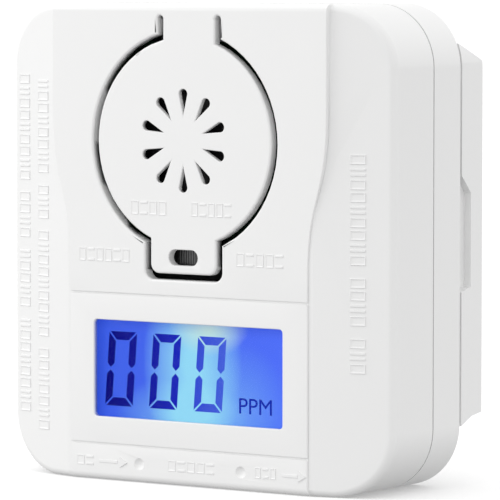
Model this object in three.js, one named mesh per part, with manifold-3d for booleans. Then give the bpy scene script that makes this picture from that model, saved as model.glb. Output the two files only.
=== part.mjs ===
// Carbon monoxide alarm: a two-shell housing with a sprung test button, a lit display, three cells and a
// wall bracket that the housing slides off sideways.
// Millimetres. X runs to the right of someone facing the alarm, Y runs from its front to the wall, Z is up.
// The origin is the middle of the base: half the width, half the depth, at the bottom edge.

import * as THREE from "three";
import { mergeVertices } from "three/addons/utils/BufferGeometryUtils.js";
import Module from "manifold-3d";

const wasm = await Module();
wasm.setup();

// ---------------------------------------------------------------- driving dimensions

// Housing outline
const width = 96;
const height = 100;
const cornerRadius = 13.2;
const frontDepth = 19.1; // face to parting line
const rearDepth = 10.6; // parting line to the back of the rear cover
const bracketDepth = 8.5; // front edge of the bracket to the wall
const wall = 2;
const faceWall = 2.2;
const gap = 0.3; // clearance between touching pieces
const markHeight = 0.2; // raised marks stand this proud of the face

// Face: a flat centre panel between two bands that fall away to the sides
const panelHalfTop = 34.4;
const panelHalfBottom = 29.9;
const panelWideAbove = 77;
const panelNarrowBelow = 45;
const bandClearance = 3.3; // display holder to where the bands begin
const bandStep = 0.4;
const bandDrop = 4.4; // how far back the band is at the housing's side
const panelGroove = 0.35;
const grooveWidth = 0.5;
const grooveHeights = [7.7, 39.4];

// Test button: a round pad with a neck to its hinge above and a tongue below
const padRadius = 21.75;
const padShift = -0.8;
const padBelowTop = 28.6; // the pad's centre, from the top edge
const slotWidth = 1.4;
const hingeBelowTop = 2.7;
const neckWidth = 13;
const neckShift = 0.5;
const tongueWidth = 16.5;
const tongueShift = -0.9;
const tongueReach = 27.3; // the tongue's end, below the pad's centre
const tongueGap = 1.3;
const tongueCorner = 2;
const buttonThickness = 2;
const petalCount = 10;
const petalInner = 5.2;
const petalOuter = 10.7;
const petalTip = 1.05;
const petalRise = 0.3; // the sound holes' centre, above the pad's
const petalShift = -0.9;
const soundWall = 1.1; // face left in front of the pocket behind the sound holes
const soundPocketMargin = 1.5;
const lampWindowWidth = 7.3;
const lampWindowHeight = 3.3;
const lampWindowRise = 3.4; // the lamp window's centre, above the tongue's end
const bossRadius = 2.2;
const bossRoot = 1; // face to the boss's root

// Display
const displayWidth = 47.4;
const displayHeight = 20.4;
const displayAt = 23.6;
const displayCorner = 0.8;
const lipThickness = 1.1; // face left in front of the window's pocket
const windowMargin = 2;
const windowThickness = 1;
const glassMargin = 2.3;
const glassThickness = 2.1;
const guideThickness = 2.6;
const holderWall = 1.4;
const glassCorner = 0.3;
const holderCorner = 1;
const zebraThickness = 1.8;

// Circuit board
const boardDepth = 9; // face to the board's front
const boardThickness = 1.6;
const boardSideMargin = 5; // housing side to the board's edge
const boardEndMargin = 8; // top or base to the board's edge
const boardCorner = 2;

// Fasteners
const housingPostSideInset = 10;
const housingPostInset = 9; // from the base and from the top
const housingPostRadius = 3.6;
const housingScrewRadius = 1.5;
const housingHeadRadius = 2.7;
const housingHeadHeight = 1.6;
const housingScrewLength = 16;
const boardPostInset = 6; // from the board's side
const boardPostLow = 45;
const boardPostBelowTop = 18;
const boardPostRadius = 2.6;
const boardScrewRadius = 1.1;
const boardHeadRadius = 2.1;
const boardHeadHeight = 1.3;
const boardScrewLength = 6;

// Battery bay: three AA cells side by side, standing up
const cellRadius = 7.25;
const cellLength = 49.5;
const cellNubRadius = 2.75;
const cellNubLength = 1;
const cellCount = 3;
const cellClearance = 0.35;
const cellBevel = 0.4;
const bayWall = 1.5;
const bayBottom = 21;
const springLength = 4.2;
const springRadius = 4.2;
const springTipRadius = 2.6;
const springWire = 0.45;
const springTurns = 3;
const springSteps = 15; // steps along the wire for each turn
const contactThickness = 0.5;
const contactWidth = 10;
const contactHeight = 10;
const tabWidth = 3;
const tabReach = 2.6;
const tabInset = 2; // bay floor to the tab

// Wall bracket
const bracketFrontBottom = 12.8;
const bracketBackBottom = 15.2;
const bracketCreaseBelowTop = 12;
const bracketSlope = 3.8; // how much higher the front edge's top is than the crease
const bracketWall = 2.5;
const plateThickness = 2.5;
const gripBottom = 40.3;
const gripTop = 64.6;
const gripDepth = 3.6;
const gripInset = 1.6;
const gripSlope = 3.6;
const keyholeX = 24;
const keyholeHeight = 50;
const keyholeHeadRadius = 4;
const keyholeSlotRadius = 2.1;
const keyholeRise = 8;

// Slide-on hooks of the bracket, and the slots they stand in
const slideTravel = 8;
const hookLeftInset = 15.8; // from the housing's left side
const hookRightInset = 12.2; // from its right side
const hookLow = 26;
const hookBelowTop = 20;
const hookStem = 2.5;
const hookLip = 5;
const hookLipThickness = 1.5;
const hookHeight = 6;

// Sounder
const sounderRadius = 14;
const sounderClearance = 2.2; // room for the button to move in

// Parts in a column on the board, beside the battery bay
const coilHeight = 33;
const chipHeight = 53;
const crystalHeight = 62.2;
const capacitorHeight = 70;

// Switches
const testSwitchSize = 6;
const testSwitchThickness = 3.4;
const testPlungerRadius = 1.7;
const testPlungerReach = 1;
const powerSwitchSize = 7;
const powerSwitchRise = 6.4; // its middle, above the battery bay
const powerPlungerRadius = 1.5;
const powerPlungerReach = 2.6; // how far the plunger stands out of the rear cover
const powerPlungerTravel = 1;
const rampMargin = 1;

// ---------------------------------------------------------------- planes along Y, and places that follow

const depth = markHeight + frontDepth + gap + rearDepth + gap + bracketDepth;
const yFront = -depth / 2;
const yFace = yFront + markHeight;
const yParting = yFace + frontDepth;
const yRearRim = yParting + gap;
const yRearBack = yRearRim + rearDepth;
const yRearFloor = yRearBack - wall;
const yBracket = yRearBack + gap;
const yWall = yBracket + bracketDepth;
const yPlate = yWall - plateThickness;
const yBoard = yFace + boardDepth;
const yBoardBack = yBoard + boardThickness;
const yWindow = yFace + lipThickness + gap;
const yInside = yFace + bandStep + faceWall;
const yGlass = yInside + gap;
const yGuide = yGlass + glassThickness + gap;
const yButtonBack = yFace + buttonThickness;
const yOnBoard = yBoardBack + gap;
const ySwitchFront = yBoard - gap - testSwitchThickness;
const yPlunger = ySwitchFront - gap - testPlungerReach;

const halfWidth = width / 2;
const bandStart = displayWidth / 2 + glassMargin + gap + holderWall + bandClearance;
const padHeight = height - padBelowTop;
const petalHeight = padHeight + petalRise;
const tongueBottom = padHeight - tongueReach;
const lampWindowAt = tongueBottom + lampWindowRise;
const hingeHeight = height - hingeBelowTop;
const hingeCut = hingeHeight + gap;
const bossHeight = petalHeight - sounderRadius - 2 * gap - testSwitchSize / 2;
const cellPitch = 2 * cellRadius + 2 * cellClearance;
const bayWidth = cellCount * cellPitch;
const baySpan = 2 * cellRadius + 2 * cellClearance;
const yBayFloor = yRearBack - baySpan;
const yCell = yRearBack - cellRadius - cellClearance;
const bayLength = cellLength + cellNubLength + springLength + 2 * contactThickness + 5 * gap;
const bayTop = bayBottom + bayLength;
const yTab = yBayFloor + tabInset;
const cellX = Array.from({ length: cellCount }, (_, i) => (i - (cellCount - 1) / 2) * cellPitch);
const powerSwitchHeight = bayTop + powerSwitchRise;
const sideColumnX = (bayWidth / 2 + bayWall + halfWidth - wall) / 2; // middle of the room beside the bay

const boardWidth = width - 2 * boardSideMargin;
const boardPostX = boardWidth / 2 - boardPostInset;
const boardPostHeights = [boardPostLow, height - boardPostBelowTop];
const housingPostX = halfWidth - housingPostSideInset;
const bracketCrease = height - bracketCreaseBelowTop;
const bracketFrontTop = bracketCrease + bracketSlope;
const hookX = [-halfWidth + hookLeftInset, halfWidth - hookRightInset];
const hookHeights = [hookLow, height - hookBelowTop];

// ---------------------------------------------------------------- solids and shapes

// A closed three.js geometry as a solid that can be joined and cut.
function solid(geometry) {
  const plain = geometry.clone();
  plain.deleteAttribute("normal");
  plain.deleteAttribute("uv");
  const merged = mergeVertices(plain, 1e-4);
  return new wasm.Manifold(
    new wasm.Mesh({
      numProp: 3,
      vertProperties: new Float32Array(merged.attributes.position.array),
      triVerts: new Uint32Array(merged.index.array),
    }),
  );
}

// A solid as a three.js geometry.
function geometryOf(body) {
  const mesh = body.getMesh();
  const geometry = new THREE.BufferGeometry();
  geometry.setAttribute("position", new THREE.BufferAttribute(mesh.vertProperties, 3));
  geometry.setIndex(new THREE.BufferAttribute(mesh.triVerts, 1));
  geometry.computeVertexNormals();
  return geometry;
}

const join = (first, ...others) => others.reduce((sum, other) => sum.add(other), first);
const cut = (first, ...others) => others.reduce((rest, other) => rest.subtract(other), first);

// A front-view outline (x, z) made solid between two planes along Y.
function slab(shape, yFrom, yTo, curveSegments = 12) {
  const geometry = new THREE.ExtrudeGeometry(shape, {
    depth: yTo - yFrom,
    bevelEnabled: false,
    curveSegments,
  });
  geometry.rotateX(Math.PI / 2);
  geometry.translate(0, yTo, 0);
  return solid(geometry);
}

// A side-view outline (y, z) made solid between two planes along X.
function sideSlab(points, xFrom, xTo) {
  const geometry = new THREE.ExtrudeGeometry(polygon(points), { depth: xTo - xFrom, bevelEnabled: false });
  geometry.rotateX(Math.PI / 2);
  geometry.rotateZ(Math.PI / 2);
  geometry.translate(xFrom, 0, 0);
  return solid(geometry);
}

// A top-view outline (x, y) made solid between two heights.
function upSlab(points, zFrom, zTo) {
  const geometry = new THREE.ExtrudeGeometry(polygon(points), { depth: zTo - zFrom, bevelEnabled: false });
  geometry.translate(0, 0, zFrom);
  return solid(geometry);
}

function polygon(points) {
  return new THREE.Shape(points.map(([a, b]) => new THREE.Vector2(a, b)));
}

function roundedRectangle(xFrom, xTo, zFrom, zTo, radius) {
  const shape = new THREE.Shape();
  shape.moveTo(xFrom + radius, zFrom);
  shape.lineTo(xTo - radius, zFrom);
  shape.absarc(xTo - radius, zFrom + radius, radius, -Math.PI / 2, 0, false);
  shape.lineTo(xTo, zTo - radius);
  shape.absarc(xTo - radius, zTo - radius, radius, 0, Math.PI / 2, false);
  shape.lineTo(xFrom + radius, zTo);
  shape.absarc(xFrom + radius, zTo - radius, radius, Math.PI / 2, Math.PI, false);
  shape.lineTo(xFrom, zFrom + radius);
  shape.absarc(xFrom + radius, zFrom + radius, radius, Math.PI, Math.PI * 1.5, false);
  return shape;
}

function box(xFrom, xTo, yFrom, yTo, zFrom, zTo) {
  const geometry = new THREE.BoxGeometry(xTo - xFrom, yTo - yFrom, zTo - zFrom);
  geometry.translate((xFrom + xTo) / 2, (yFrom + yTo) / 2, (zFrom + zTo) / 2);
  return solid(geometry);
}

// A round bar that lies along Y.
function barY(x, z, radius, yFrom, yTo, sides = 24) {
  const geometry = new THREE.CylinderGeometry(radius, radius, yTo - yFrom, sides);
  geometry.translate(x, (yFrom + yTo) / 2, z);
  return solid(geometry);
}

// A profile of [radius, y] pairs turned about a line along Y.
function turnedY(profile, x, z, sides = 24) {
  const points = profile.map(([radius, y]) => new THREE.Vector2(radius, y));
  const geometry = new THREE.LatheGeometry(points, sides);
  geometry.translate(x, 0, z);
  return solid(geometry);
}

// A profile of [radius, z] pairs turned about an upright line.
function turnedZ(profile, x, y, sides = 24) {
  const points = profile.map(([radius, z]) => new THREE.Vector2(radius, z));
  const geometry = new THREE.LatheGeometry(points, sides);
  geometry.rotateX(Math.PI / 2);
  geometry.translate(x, y, 0);
  return solid(geometry);
}

// A round wire along a curve.
function wire(curve, radius, steps, sides = 6) {
  const section = new THREE.Shape();
  for (let i = 0; i < sides; i += 1) {
    const angle = (i / sides) * 2 * Math.PI;
    const point = [radius * Math.cos(angle), radius * Math.sin(angle)];
    if (i === 0) section.moveTo(...point);
    else section.lineTo(...point);
  }
  section.closePath();
  return new THREE.ExtrudeGeometry(section, { extrudePath: curve, steps });
}

// ---------------------------------------------------------------- the object

const object = new THREE.Group();

function addPiece(name, body, [color, roughness, metalness]) {
  const geometry = body.isBufferGeometry ? body : geometryOf(body);
  const mesh = new THREE.Mesh(geometry, new THREE.MeshStandardMaterial({ color, roughness, metalness }));
  mesh.name = name;
  object.add(mesh);
}

const finish = {
  whiteShell: [0xf1f1ef, 0.55, 0],
  clear: [0xdfe8f2, 0.08, 0],
  lcd: [0x3c64f0, 0.15, 0],
  whiteInner: [0xe9e9e4, 0.6, 0],
  rubber: [0x2a2a2c, 0.8, 0],
  board: [0x1f6b3a, 0.5, 0],
  steel: [0xb9bcc0, 0.35, 1],
  nickel: [0xc9c6b8, 0.3, 1],
  brass: [0xc9a24a, 0.35, 1],
  blackPlastic: [0x1d1d1f, 0.5, 0],
  greenLamp: [0x39c060, 0.25, 0],
  redLamp: [0xd03028, 0.25, 0],
  copper: [0xb8703a, 0.4, 1],
  aluminium: [0xc8cacd, 0.35, 1],
  redLead: [0xc02020, 0.5, 0],
  blackLead: [0x202022, 0.5, 0],
  cellJacket: [0x4a5a64, 0.4, 0.2],
};

// ---------------------------------------------------------------- housing outline

// The housing's outline, set in from its sides by a margin.
function housing(margin, yFrom, yTo) {
  const shape = roundedRectangle(
    -halfWidth + margin,
    halfWidth - margin,
    margin,
    height - margin,
    cornerRadius - margin,
  );
  return slab(shape, yFrom, yTo, 10);
}

// Everything behind the face's bands, moved back by a distance. It is flat in the middle and falls away
// at the sides.
function behindBands(back) {
  const yMiddle = yFace + bandStep + back;
  const ySide = yFace + bandDrop + back;
  const far = depth;
  return upSlab(
    [
      [-halfWidth, far],
      [-halfWidth, ySide],
      [-bandStart, yMiddle],
      [bandStart, yMiddle],
      [halfWidth, ySide],
      [halfWidth, far],
    ],
    0,
    height,
  );
}

// The centre panel's outline: wide round the button, narrow round the display.
function panelShape(margin) {
  const top = panelHalfTop - margin;
  const bottom = panelHalfBottom - margin;
  const lowBend = (panelWideAbove + panelNarrowBelow) / 2;
  const highBend = lowBend;
  const shape = new THREE.Shape();
  shape.moveTo(-bottom, 0);
  shape.lineTo(bottom, 0);
  shape.lineTo(bottom, panelNarrowBelow);
  shape.bezierCurveTo(bottom, lowBend, top, highBend, top, panelWideAbove);
  shape.lineTo(top, height);
  shape.lineTo(-top, height);
  shape.lineTo(-top, panelWideAbove);
  shape.bezierCurveTo(-top, highBend, -bottom, lowBend, -bottom, panelNarrowBelow);
  shape.lineTo(-bottom, 0);
  return shape;
}

// The test button's outline, grown by a margin all round and cut off at a height above its hinge.
function buttonOutline(margin, top, yFrom, yTo) {
  const pad = barY(padShift, padHeight, padRadius + margin, yFrom, yTo, 64);
  const neckHalf = neckWidth / 2 + margin;
  const neck = box(neckShift - neckHalf, neckShift + neckHalf, yFrom, yTo, padHeight, top);
  const tongueHalf = tongueWidth / 2 + margin;
  const bottom = tongueBottom - (margin > 0 ? tongueGap : 0);
  const tongue = slab(
    roundedRectangle(tongueShift - tongueHalf, tongueShift + tongueHalf, bottom, padHeight, tongueCorner),
    yFrom,
    yTo,
    4,
  );
  return join(pad, neck, tongue);
}

// ---------------------------------------------------------------- raised marks

// A raised bar on the face that stands for a line of lettering or part of a sign.
function markBar(xFrom, xTo, z) {
  return box(xFrom, xTo, yFront, yFace + faceWall / 2, z - markStroke / 2, z + markStroke / 2);
}

// A raised arrowhead that points to the right.
function markArrow(xTip, z) {
  const points = [
    [xTip - arrowSize, z - arrowSize / 2],
    [xTip, z],
    [xTip - arrowSize, z + arrowSize / 2],
  ];
  return slab(polygon(points), yFront, yFace + faceWall / 2);
}

const markStroke = 0.7;
const arrowSize = 2.2;
const slideMarkHeight = 3.9;
const buttonMarksBelowPad = 13.45;
const buttonMarks = [
  [-13.5, -5.5],
  [1.5, 11],
];
const lampMarks = [
  [-27.5, -14.5],
  [12, 24],
];
const slideMarks = [
  [-27.5, -17],
  [-5, 7],
  [17, 27.5],
];
const slideArrowTips = [-15.2, 29.5];

function faceMarks() {
  const lamps = lampMarks.map(([from, to]) => markBar(from, to, lampWindowAt));
  const lines = slideMarks.map(([from, to]) => markBar(from, to, slideMarkHeight));
  const arrows = slideArrowTips.map((tip) => markArrow(tip, slideMarkHeight));
  return [...lamps, ...lines, ...arrows];
}

// ---------------------------------------------------------------- front cover

function screwPosts(yFrom, yTo, radius) {
  const posts = [];
  for (const x of [-housingPostX, housingPostX]) {
    for (const z of [housingPostInset, height - housingPostInset]) {
      posts.push(barY(x, z, radius, yFrom, yTo, 20));
    }
  }
  return posts;
}

function boardPosts(yFrom, yTo, radius) {
  const posts = [];
  for (const x of [-boardPostX, boardPostX]) {
    for (const z of boardPostHeights) posts.push(barY(x, z, radius, yFrom, yTo, 16));
  }
  return posts;
}

function displayRectangle(margin, radius) {
  return roundedRectangle(
    -displayWidth / 2 - margin,
    displayWidth / 2 + margin,
    displayAt - displayHeight / 2 - margin,
    displayAt + displayHeight / 2 + margin,
    radius,
  );
}

function frontCover() {
  const shell = housing(0, yFace, yParting).intersect(behindBands(0));
  const panel = slab(panelShape(0), yFace, yFace + faceWall).intersect(housing(0, yFace, yParting));
  const hollow = housing(wall, yFace + faceWall, yParting + 1).intersect(behindBands(faceWall));
  const postFront = yFace + faceWall / 2;
  const inside = housing(wall, yFace, yParting);
  const posts = join(
    ...screwPosts(postFront, yParting, housingPostRadius),
    ...boardPosts(postFront, yBoard - gap, boardPostRadius),
  )
    .intersect(inside)
    .intersect(behindBands(0));
  const pocketMargin = windowMargin + gap;
  const display = slab(displayRectangle(0, displayCorner), yFront, yInside + 1, 3);
  const pocket = slab(displayRectangle(pocketMargin, displayCorner), yFace + lipThickness, yInside + 1, 3);
  const button = buttonOutline(slotWidth, hingeCut, yFront, yInside + 1);
  const halfGroove = grooveWidth / 2;
  const grooves = grooveHeights.map((z) =>
    box(-panelHalfBottom, panelHalfBottom, yFront, yFace + panelGroove, z - halfGroove, z + halfGroove),
  );
  const screwHoles = screwPosts(yRearBack - housingScrewLength - gap, depth, housingScrewRadius + gap);
  const boardHoles = boardPosts(
    yBoardBack + gap - boardScrewLength - gap,
    depth,
    boardScrewRadius + gap,
  );
  const body = join(cut(join(shell, panel), hollow), posts, ...faceMarks());
  return cut(body, display, pocket, button, ...grooves, ...screwHoles, ...boardHoles);
}

addPiece("front_cover", frontCover(), finish.whiteShell);

// ---------------------------------------------------------------- test button

// One sound hole: narrow at its inner end, round at its outer end.
function petal(angle) {
  const shape = new THREE.Shape();
  const centre = petalOuter - petalTip;
  shape.moveTo(petalInner, 0);
  shape.lineTo(centre, -petalTip);
  shape.absarc(centre, 0, petalTip, -Math.PI / 2, Math.PI / 2, false);
  shape.lineTo(petalInner, 0);
  const geometry = new THREE.ExtrudeGeometry(shape, {
    depth: buttonThickness + 2,
    bevelEnabled: false,
    curveSegments: 5,
  });
  geometry.rotateZ(angle);
  geometry.rotateX(Math.PI / 2);
  geometry.translate(petalShift, yFace + buttonThickness + 1, petalHeight);
  return solid(geometry);
}

function testButton() {
  const plate = buttonOutline(0, hingeHeight, yFace, yButtonBack);
  const pitch = (2 * Math.PI) / petalCount;
  const petals = Array.from({ length: petalCount }, (_, i) => petal(Math.PI / 2 + i * pitch));
  const lampWindow = slab(
    roundedRectangle(
      tongueShift - lampWindowWidth / 2,
      tongueShift + lampWindowWidth / 2,
      lampWindowAt - lampWindowHeight / 2,
      lampWindowAt + lampWindowHeight / 2,
      lampWindowHeight / 2 - 0.01,
    ),
    yFront,
    yButtonBack + 1,
    5,
  );
  const boss = barY(tongueShift, bossHeight, bossRadius, yFace + bossRoot, yPlunger - gap, 16);
  const marks = buttonMarks.map(([from, to]) => markBar(from, to, padHeight - buttonMarksBelowPad));
  const soundPocket = barY(
    petalShift,
    petalHeight,
    petalOuter + soundPocketMargin,
    yFace + soundWall,
    yButtonBack + 1,
    32,
  );
  return cut(join(plate, boss, ...marks), ...petals, lampWindow, soundPocket);
}

addPiece("test_button", testButton(), finish.whiteShell);

// ---------------------------------------------------------------- rear cover

// A hook slot, long enough for the hook's stem to travel in.
function hookSlot(x, z) {
  const left = x - hookStem / 2 - slideTravel - gap;
  const right = x + hookStem / 2 + gap;
  const half = hookHeight / 2 + gap;
  return box(left, right, yRearFloor - 1, yRearBack + 1, z - half, z + half);
}

function hookPlaces() {
  return hookX.flatMap((x) => hookHeights.map((z) => [x, z]));
}

function tabSlot(x, zFrom, zTo) {
  const half = tabWidth / 2 + gap;
  return box(x - half, x + half, yTab - gap, yTab + contactThickness + gap, zFrom, zTo);
}


function rearCover() {
  const shell = cut(housing(0, yRearRim, yRearBack), housing(wall, yRearRim - 1, yRearFloor));
  const bayOuter = box(
    -bayWidth / 2 - bayWall,
    bayWidth / 2 + bayWall,
    yBayFloor - bayWall,
    yRearBack,
    bayBottom - bayWall,
    bayTop + bayWall,
  );
  const bayInner = box(-bayWidth / 2, bayWidth / 2, yBayFloor, yRearBack + 1, bayBottom, bayTop);
  const posts = join(...screwPosts(yRearRim, yRearBack, housingPostRadius)).intersect(
    housing(wall / 2, yRearRim, yRearBack),
  );
  const screwHoles = screwPosts(yRearRim - 1, yRearBack + 1, housingScrewRadius + gap);
  const headHoles = screwPosts(yRearBack - housingHeadHeight - gap, yRearBack + 1, housingHeadRadius + gap);
  const slots = hookPlaces().map(([x, z]) => hookSlot(x, z));
  const holeRadius = powerPlungerRadius + gap;
  const plungerHole = barY(0, powerSwitchHeight, holeRadius, yRearFloor - 1, yRearBack + 1, 20);
  const positiveSlot = tabSlot(cellX[0], bayTop - 1, bayTop + bayWall + 1);
  const negativeSlot = tabSlot(cellX[cellCount - 1], bayBottom - bayWall - 1, bayBottom + 1);
  return cut(
    join(shell, bayOuter, posts),
    bayInner,
    ...screwHoles,
    ...headHoles,
    ...slots,
    plungerHole,
    positiveSlot,
    negativeSlot,
  );
}

addPiece("rear_cover", rearCover(), finish.whiteShell);

// ---------------------------------------------------------------- wall bracket

function hook(x, z) {
  const lipBack = yRearFloor - gap;
  const stem = box(
    x - hookStem / 2,
    x + hookStem / 2,
    lipBack - hookLipThickness,
    yPlate + 1,
    z - hookHeight / 2,
    z + hookHeight / 2,
  );
  const lip = box(
    x - hookStem / 2,
    x + hookStem / 2 + hookLip,
    lipBack - hookLipThickness,
    lipBack,
    z - hookHeight / 2,
    z + hookHeight / 2,
  );
  return join(stem, lip);
}

function keyhole(x) {
  const yFrom = yPlate - 1;
  const yTo = yWall + 1;
  const head = barY(x, keyholeHeight, keyholeHeadRadius, yFrom, yTo, 24);
  const top = barY(x, keyholeHeight + keyholeRise, keyholeSlotRadius, yFrom, yTo, 16);
  const slot = box(
    x - keyholeSlotRadius,
    x + keyholeSlotRadius,
    yFrom,
    yTo,
    keyholeHeight,
    keyholeHeight + keyholeRise,
  );
  return join(head, top, slot);
}

// A finger grip in the side wall's front edge, with sloped ends.
function grip(side) {
  const outer = side * (halfWidth + 1);
  const inner = side * (halfWidth - gripInset);
  const profile = [
    [yBracket - 1, gripBottom],
    [yBracket + gripDepth, gripBottom + gripSlope / 3],
    [yBracket + gripDepth, gripTop - gripSlope],
    [yBracket - 1, gripTop + 1],
  ];
  return sideSlab(profile, Math.min(outer, inner), Math.max(outer, inner));
}

// The ramp that holds the power switch in while the housing is slid on.
function powerRamp() {
  const slope = powerPlungerTravel / slideTravel;
  const rampAt = (x) => yRearBack + powerPlungerReach + gap + slope * (x + powerPlungerRadius);
  const xFrom = -powerPlungerRadius - rampMargin;
  const xTo = powerPlungerRadius + slideTravel + rampMargin;
  return upSlab(
    [
      [xFrom, rampAt(xFrom)],
      [xTo, rampAt(xTo)],
      [xTo, yPlate + 1],
      [xFrom, yPlate + 1],
    ],
    powerSwitchHeight - powerPlungerRadius - rampMargin,
    powerSwitchHeight + powerPlungerRadius + rampMargin,
  );
}

function mountingBracket() {
  const yMiddle = (yBracket + yWall) / 2;
  const sag = (bracketBackBottom - bracketFrontBottom) / 4;
  const outer = sideSlab(
    [
      [yBracket, bracketFrontBottom],
      [yMiddle, (bracketFrontBottom + bracketBackBottom) / 2 + sag],
      [yWall, bracketBackBottom],
      [yWall, bracketCrease],
      [yBracket, bracketFrontTop],
    ],
    -halfWidth,
    halfWidth,
  ).intersect(housing(0, yBracket, yWall));
  const hollow = box(
    -halfWidth + bracketWall,
    halfWidth - bracketWall,
    yBracket - 1,
    yPlate,
    bracketBackBottom + bracketWall,
    bracketCrease - bracketWall / 2,
  ).intersect(housing(bracketWall, yBracket - 1, yPlate));
  const tray = cut(outer, hollow);
  const hooks = hookPlaces().map(([x, z]) => hook(x, z));
  return cut(join(tray, powerRamp(), ...hooks), keyhole(-keyholeX), keyhole(keyholeX), grip(1), grip(-1));
}

addPiece("mounting_bracket", mountingBracket(), finish.whiteShell);

// ---------------------------------------------------------------- display

const zebraTop = displayAt + displayHeight / 2 + glassMargin;

function displayPieces() {
  const window = slab(displayRectangle(windowMargin, displayCorner), yWindow, yWindow + windowThickness, 3);
  addPiece("display_window", window, finish.clear);

  const glass = slab(displayRectangle(glassMargin, glassCorner), yGlass, yGlass + glassThickness, 1);
  addPiece("lcd_glass", glass, finish.lcd);

  const guideTop = zebraTop - zebraThickness - gap;
  const left = -displayWidth / 2 - glassMargin;
  const right = displayWidth / 2 + glassMargin;
  const bottom = displayAt - displayHeight / 2 - glassMargin;
  const lampWidth = 3;
  const lampHalf = 5;
  const zebraInset = 1;
  const guide = box(left + lampWidth + gap, right, yGuide, yGuide + guideThickness, bottom, guideTop);
  addPiece("backlight_guide", guide, finish.clear);

  const yBehind = yGuide + guideThickness;
  const lamp = box(left, left + lampWidth, yGuide, yBehind, displayAt - lampHalf, displayAt + lampHalf);
  addPiece("backlight_led", lamp, finish.whiteInner);

  const zebraBottom = zebraTop - zebraThickness;
  const zebra = box(left + zebraInset, right - zebraInset, yGuide, yBoard - gap, zebraBottom, zebraTop);
  addPiece("zebra_strip", zebra, finish.rubber);

  const inner = glassMargin + gap;
  const outer = inner + holderWall;
  const frame = cut(
    slab(displayRectangle(outer, holderCorner), yGlass, yBoard - gap, 2),
    slab(displayRectangle(inner, glassCorner), yGlass - 1, yBoard, 1),
  );
  addPiece("lcd_holder", frame, finish.whiteInner);
}

displayPieces();

// ---------------------------------------------------------------- circuit board and what is on it

const sensorX = sideColumnX;
const sensorHeight = (boardPostHeights[0] + boardPostHeights[1]) / 2;
const sensorPinRadius = 0.5;
const sensorPinCircle = 5;
const sensorPinCount = 3;

function sensorPins() {
  return Array.from({ length: sensorPinCount }, (_, i) => {
    const angle = (i * 2 * Math.PI) / sensorPinCount;
    return [sensorX + sensorPinCircle * Math.cos(angle), sensorHeight + sensorPinCircle * Math.sin(angle)];
  });
}

function mainBoard() {
  const plate = slab(
    roundedRectangle(
      -boardWidth / 2,
      boardWidth / 2,
      boardEndMargin,
      height - boardEndMargin,
      boardCorner,
    ),
    yBoard,
    yBoardBack,
    2,
  );
  const clearPosts = screwPosts(yBoard - 1, yBoardBack + 1, housingPostRadius + 2 * gap);
  const holes = boardPosts(yBoard - 1, yBoardBack + 1, boardScrewRadius + gap);
  const pinHoleRadius = sensorPinRadius + gap;
  const pinHoles = sensorPins().map(([x, z]) => barY(x, z, pinHoleRadius, yBoard - 1, yBoardBack + 1, 8));
  return cut(plate, ...clearPosts, ...holes, ...pinHoles);
}

addPiece("main_board", mainBoard(), finish.board);

function soundPieces() {
  const outer = sounderRadius;
  const wallThickness = 1.2;
  const portRadius = 3;
  const discDepth = 2.2;
  const discThickness = 0.5;
  const yTop = yButtonBack + sounderClearance;
  const yBottom = yBoard - gap;
  const housingProfile = [
    [portRadius, yTop],
    [outer, yTop],
    [outer, yBottom],
    [outer - wallThickness, yBottom],
    [outer - wallThickness, yTop + wallThickness],
    [portRadius, yTop + wallThickness],
    [portRadius, yTop],
  ];
  addPiece("sounder_housing", turnedY(housingProfile, petalShift, petalHeight, 32), finish.blackPlastic);
  const yDisc = yTop + discDepth;
  const discRadius = outer - wallThickness - gap;
  const disc = barY(petalShift, petalHeight, discRadius, yDisc, yDisc + discThickness, 32);
  addPiece("piezo_disc", disc, finish.brass);
}

soundPieces();

function sensorPieces() {
  const radius = 9;
  const canLength = 11;
  const canBevel = 0.8;
  const standOff = 0.6;
  const capLength = 2.4;
  const capRadius = 8.4;
  const pinReach = 1.2; // in front of the board
  const yCan = yOnBoard + standOff;
  const can = turnedY(
    [
      [0, yCan],
      [radius, yCan],
      [radius, yCan + canLength - canBevel],
      [radius - canBevel, yCan + canLength],
      [0, yCan + canLength],
    ],
    sensorX,
    sensorHeight,
    28,
  );
  addPiece("co_sensor_can", can, finish.steel);
  const yCap = yCan + canLength + gap;
  const ventRadius = 2.4;
  const ventDepth = 1.2;
  const cap = turnedY(
    [
      [0, yCap],
      [capRadius, yCap],
      [capRadius, yCap + capLength],
      [ventRadius, yCap + capLength],
      [ventRadius, yCap + capLength - ventDepth],
      [0, yCap + capLength - ventDepth],
    ],
    sensorX,
    sensorHeight,
    28,
  );
  addPiece("co_sensor_cap", cap, finish.whiteInner);
  sensorPins().forEach(([x, z], i) => {
    const pin = barY(x, z, sensorPinRadius, yBoard - pinReach, yCan - gap, 8);
    addPiece(`co_sensor_pin_${i + 1}`, pin, finish.nickel);
  });
}

sensorPieces();

function testSwitchPieces() {
  const half = testSwitchSize / 2;
  const body = box(
    tongueShift - half,
    tongueShift + half,
    ySwitchFront,
    yBoard - gap,
    bossHeight - half,
    bossHeight + half,
  );
  const travelRoom = 1.6;
  const seat = 0.4;
  const wellRadius = testPlungerRadius + gap;
  const well = barY(tongueShift, bossHeight, wellRadius, ySwitchFront - 1, ySwitchFront + travelRoom, 16);
  addPiece("test_switch_body", cut(body, well), finish.blackPlastic);
  const plunger = barY(tongueShift, bossHeight, testPlungerRadius, yPlunger, ySwitchFront + seat, 16);
  addPiece("test_switch_plunger", plunger, finish.nickel);
}

testSwitchPieces();

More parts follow.
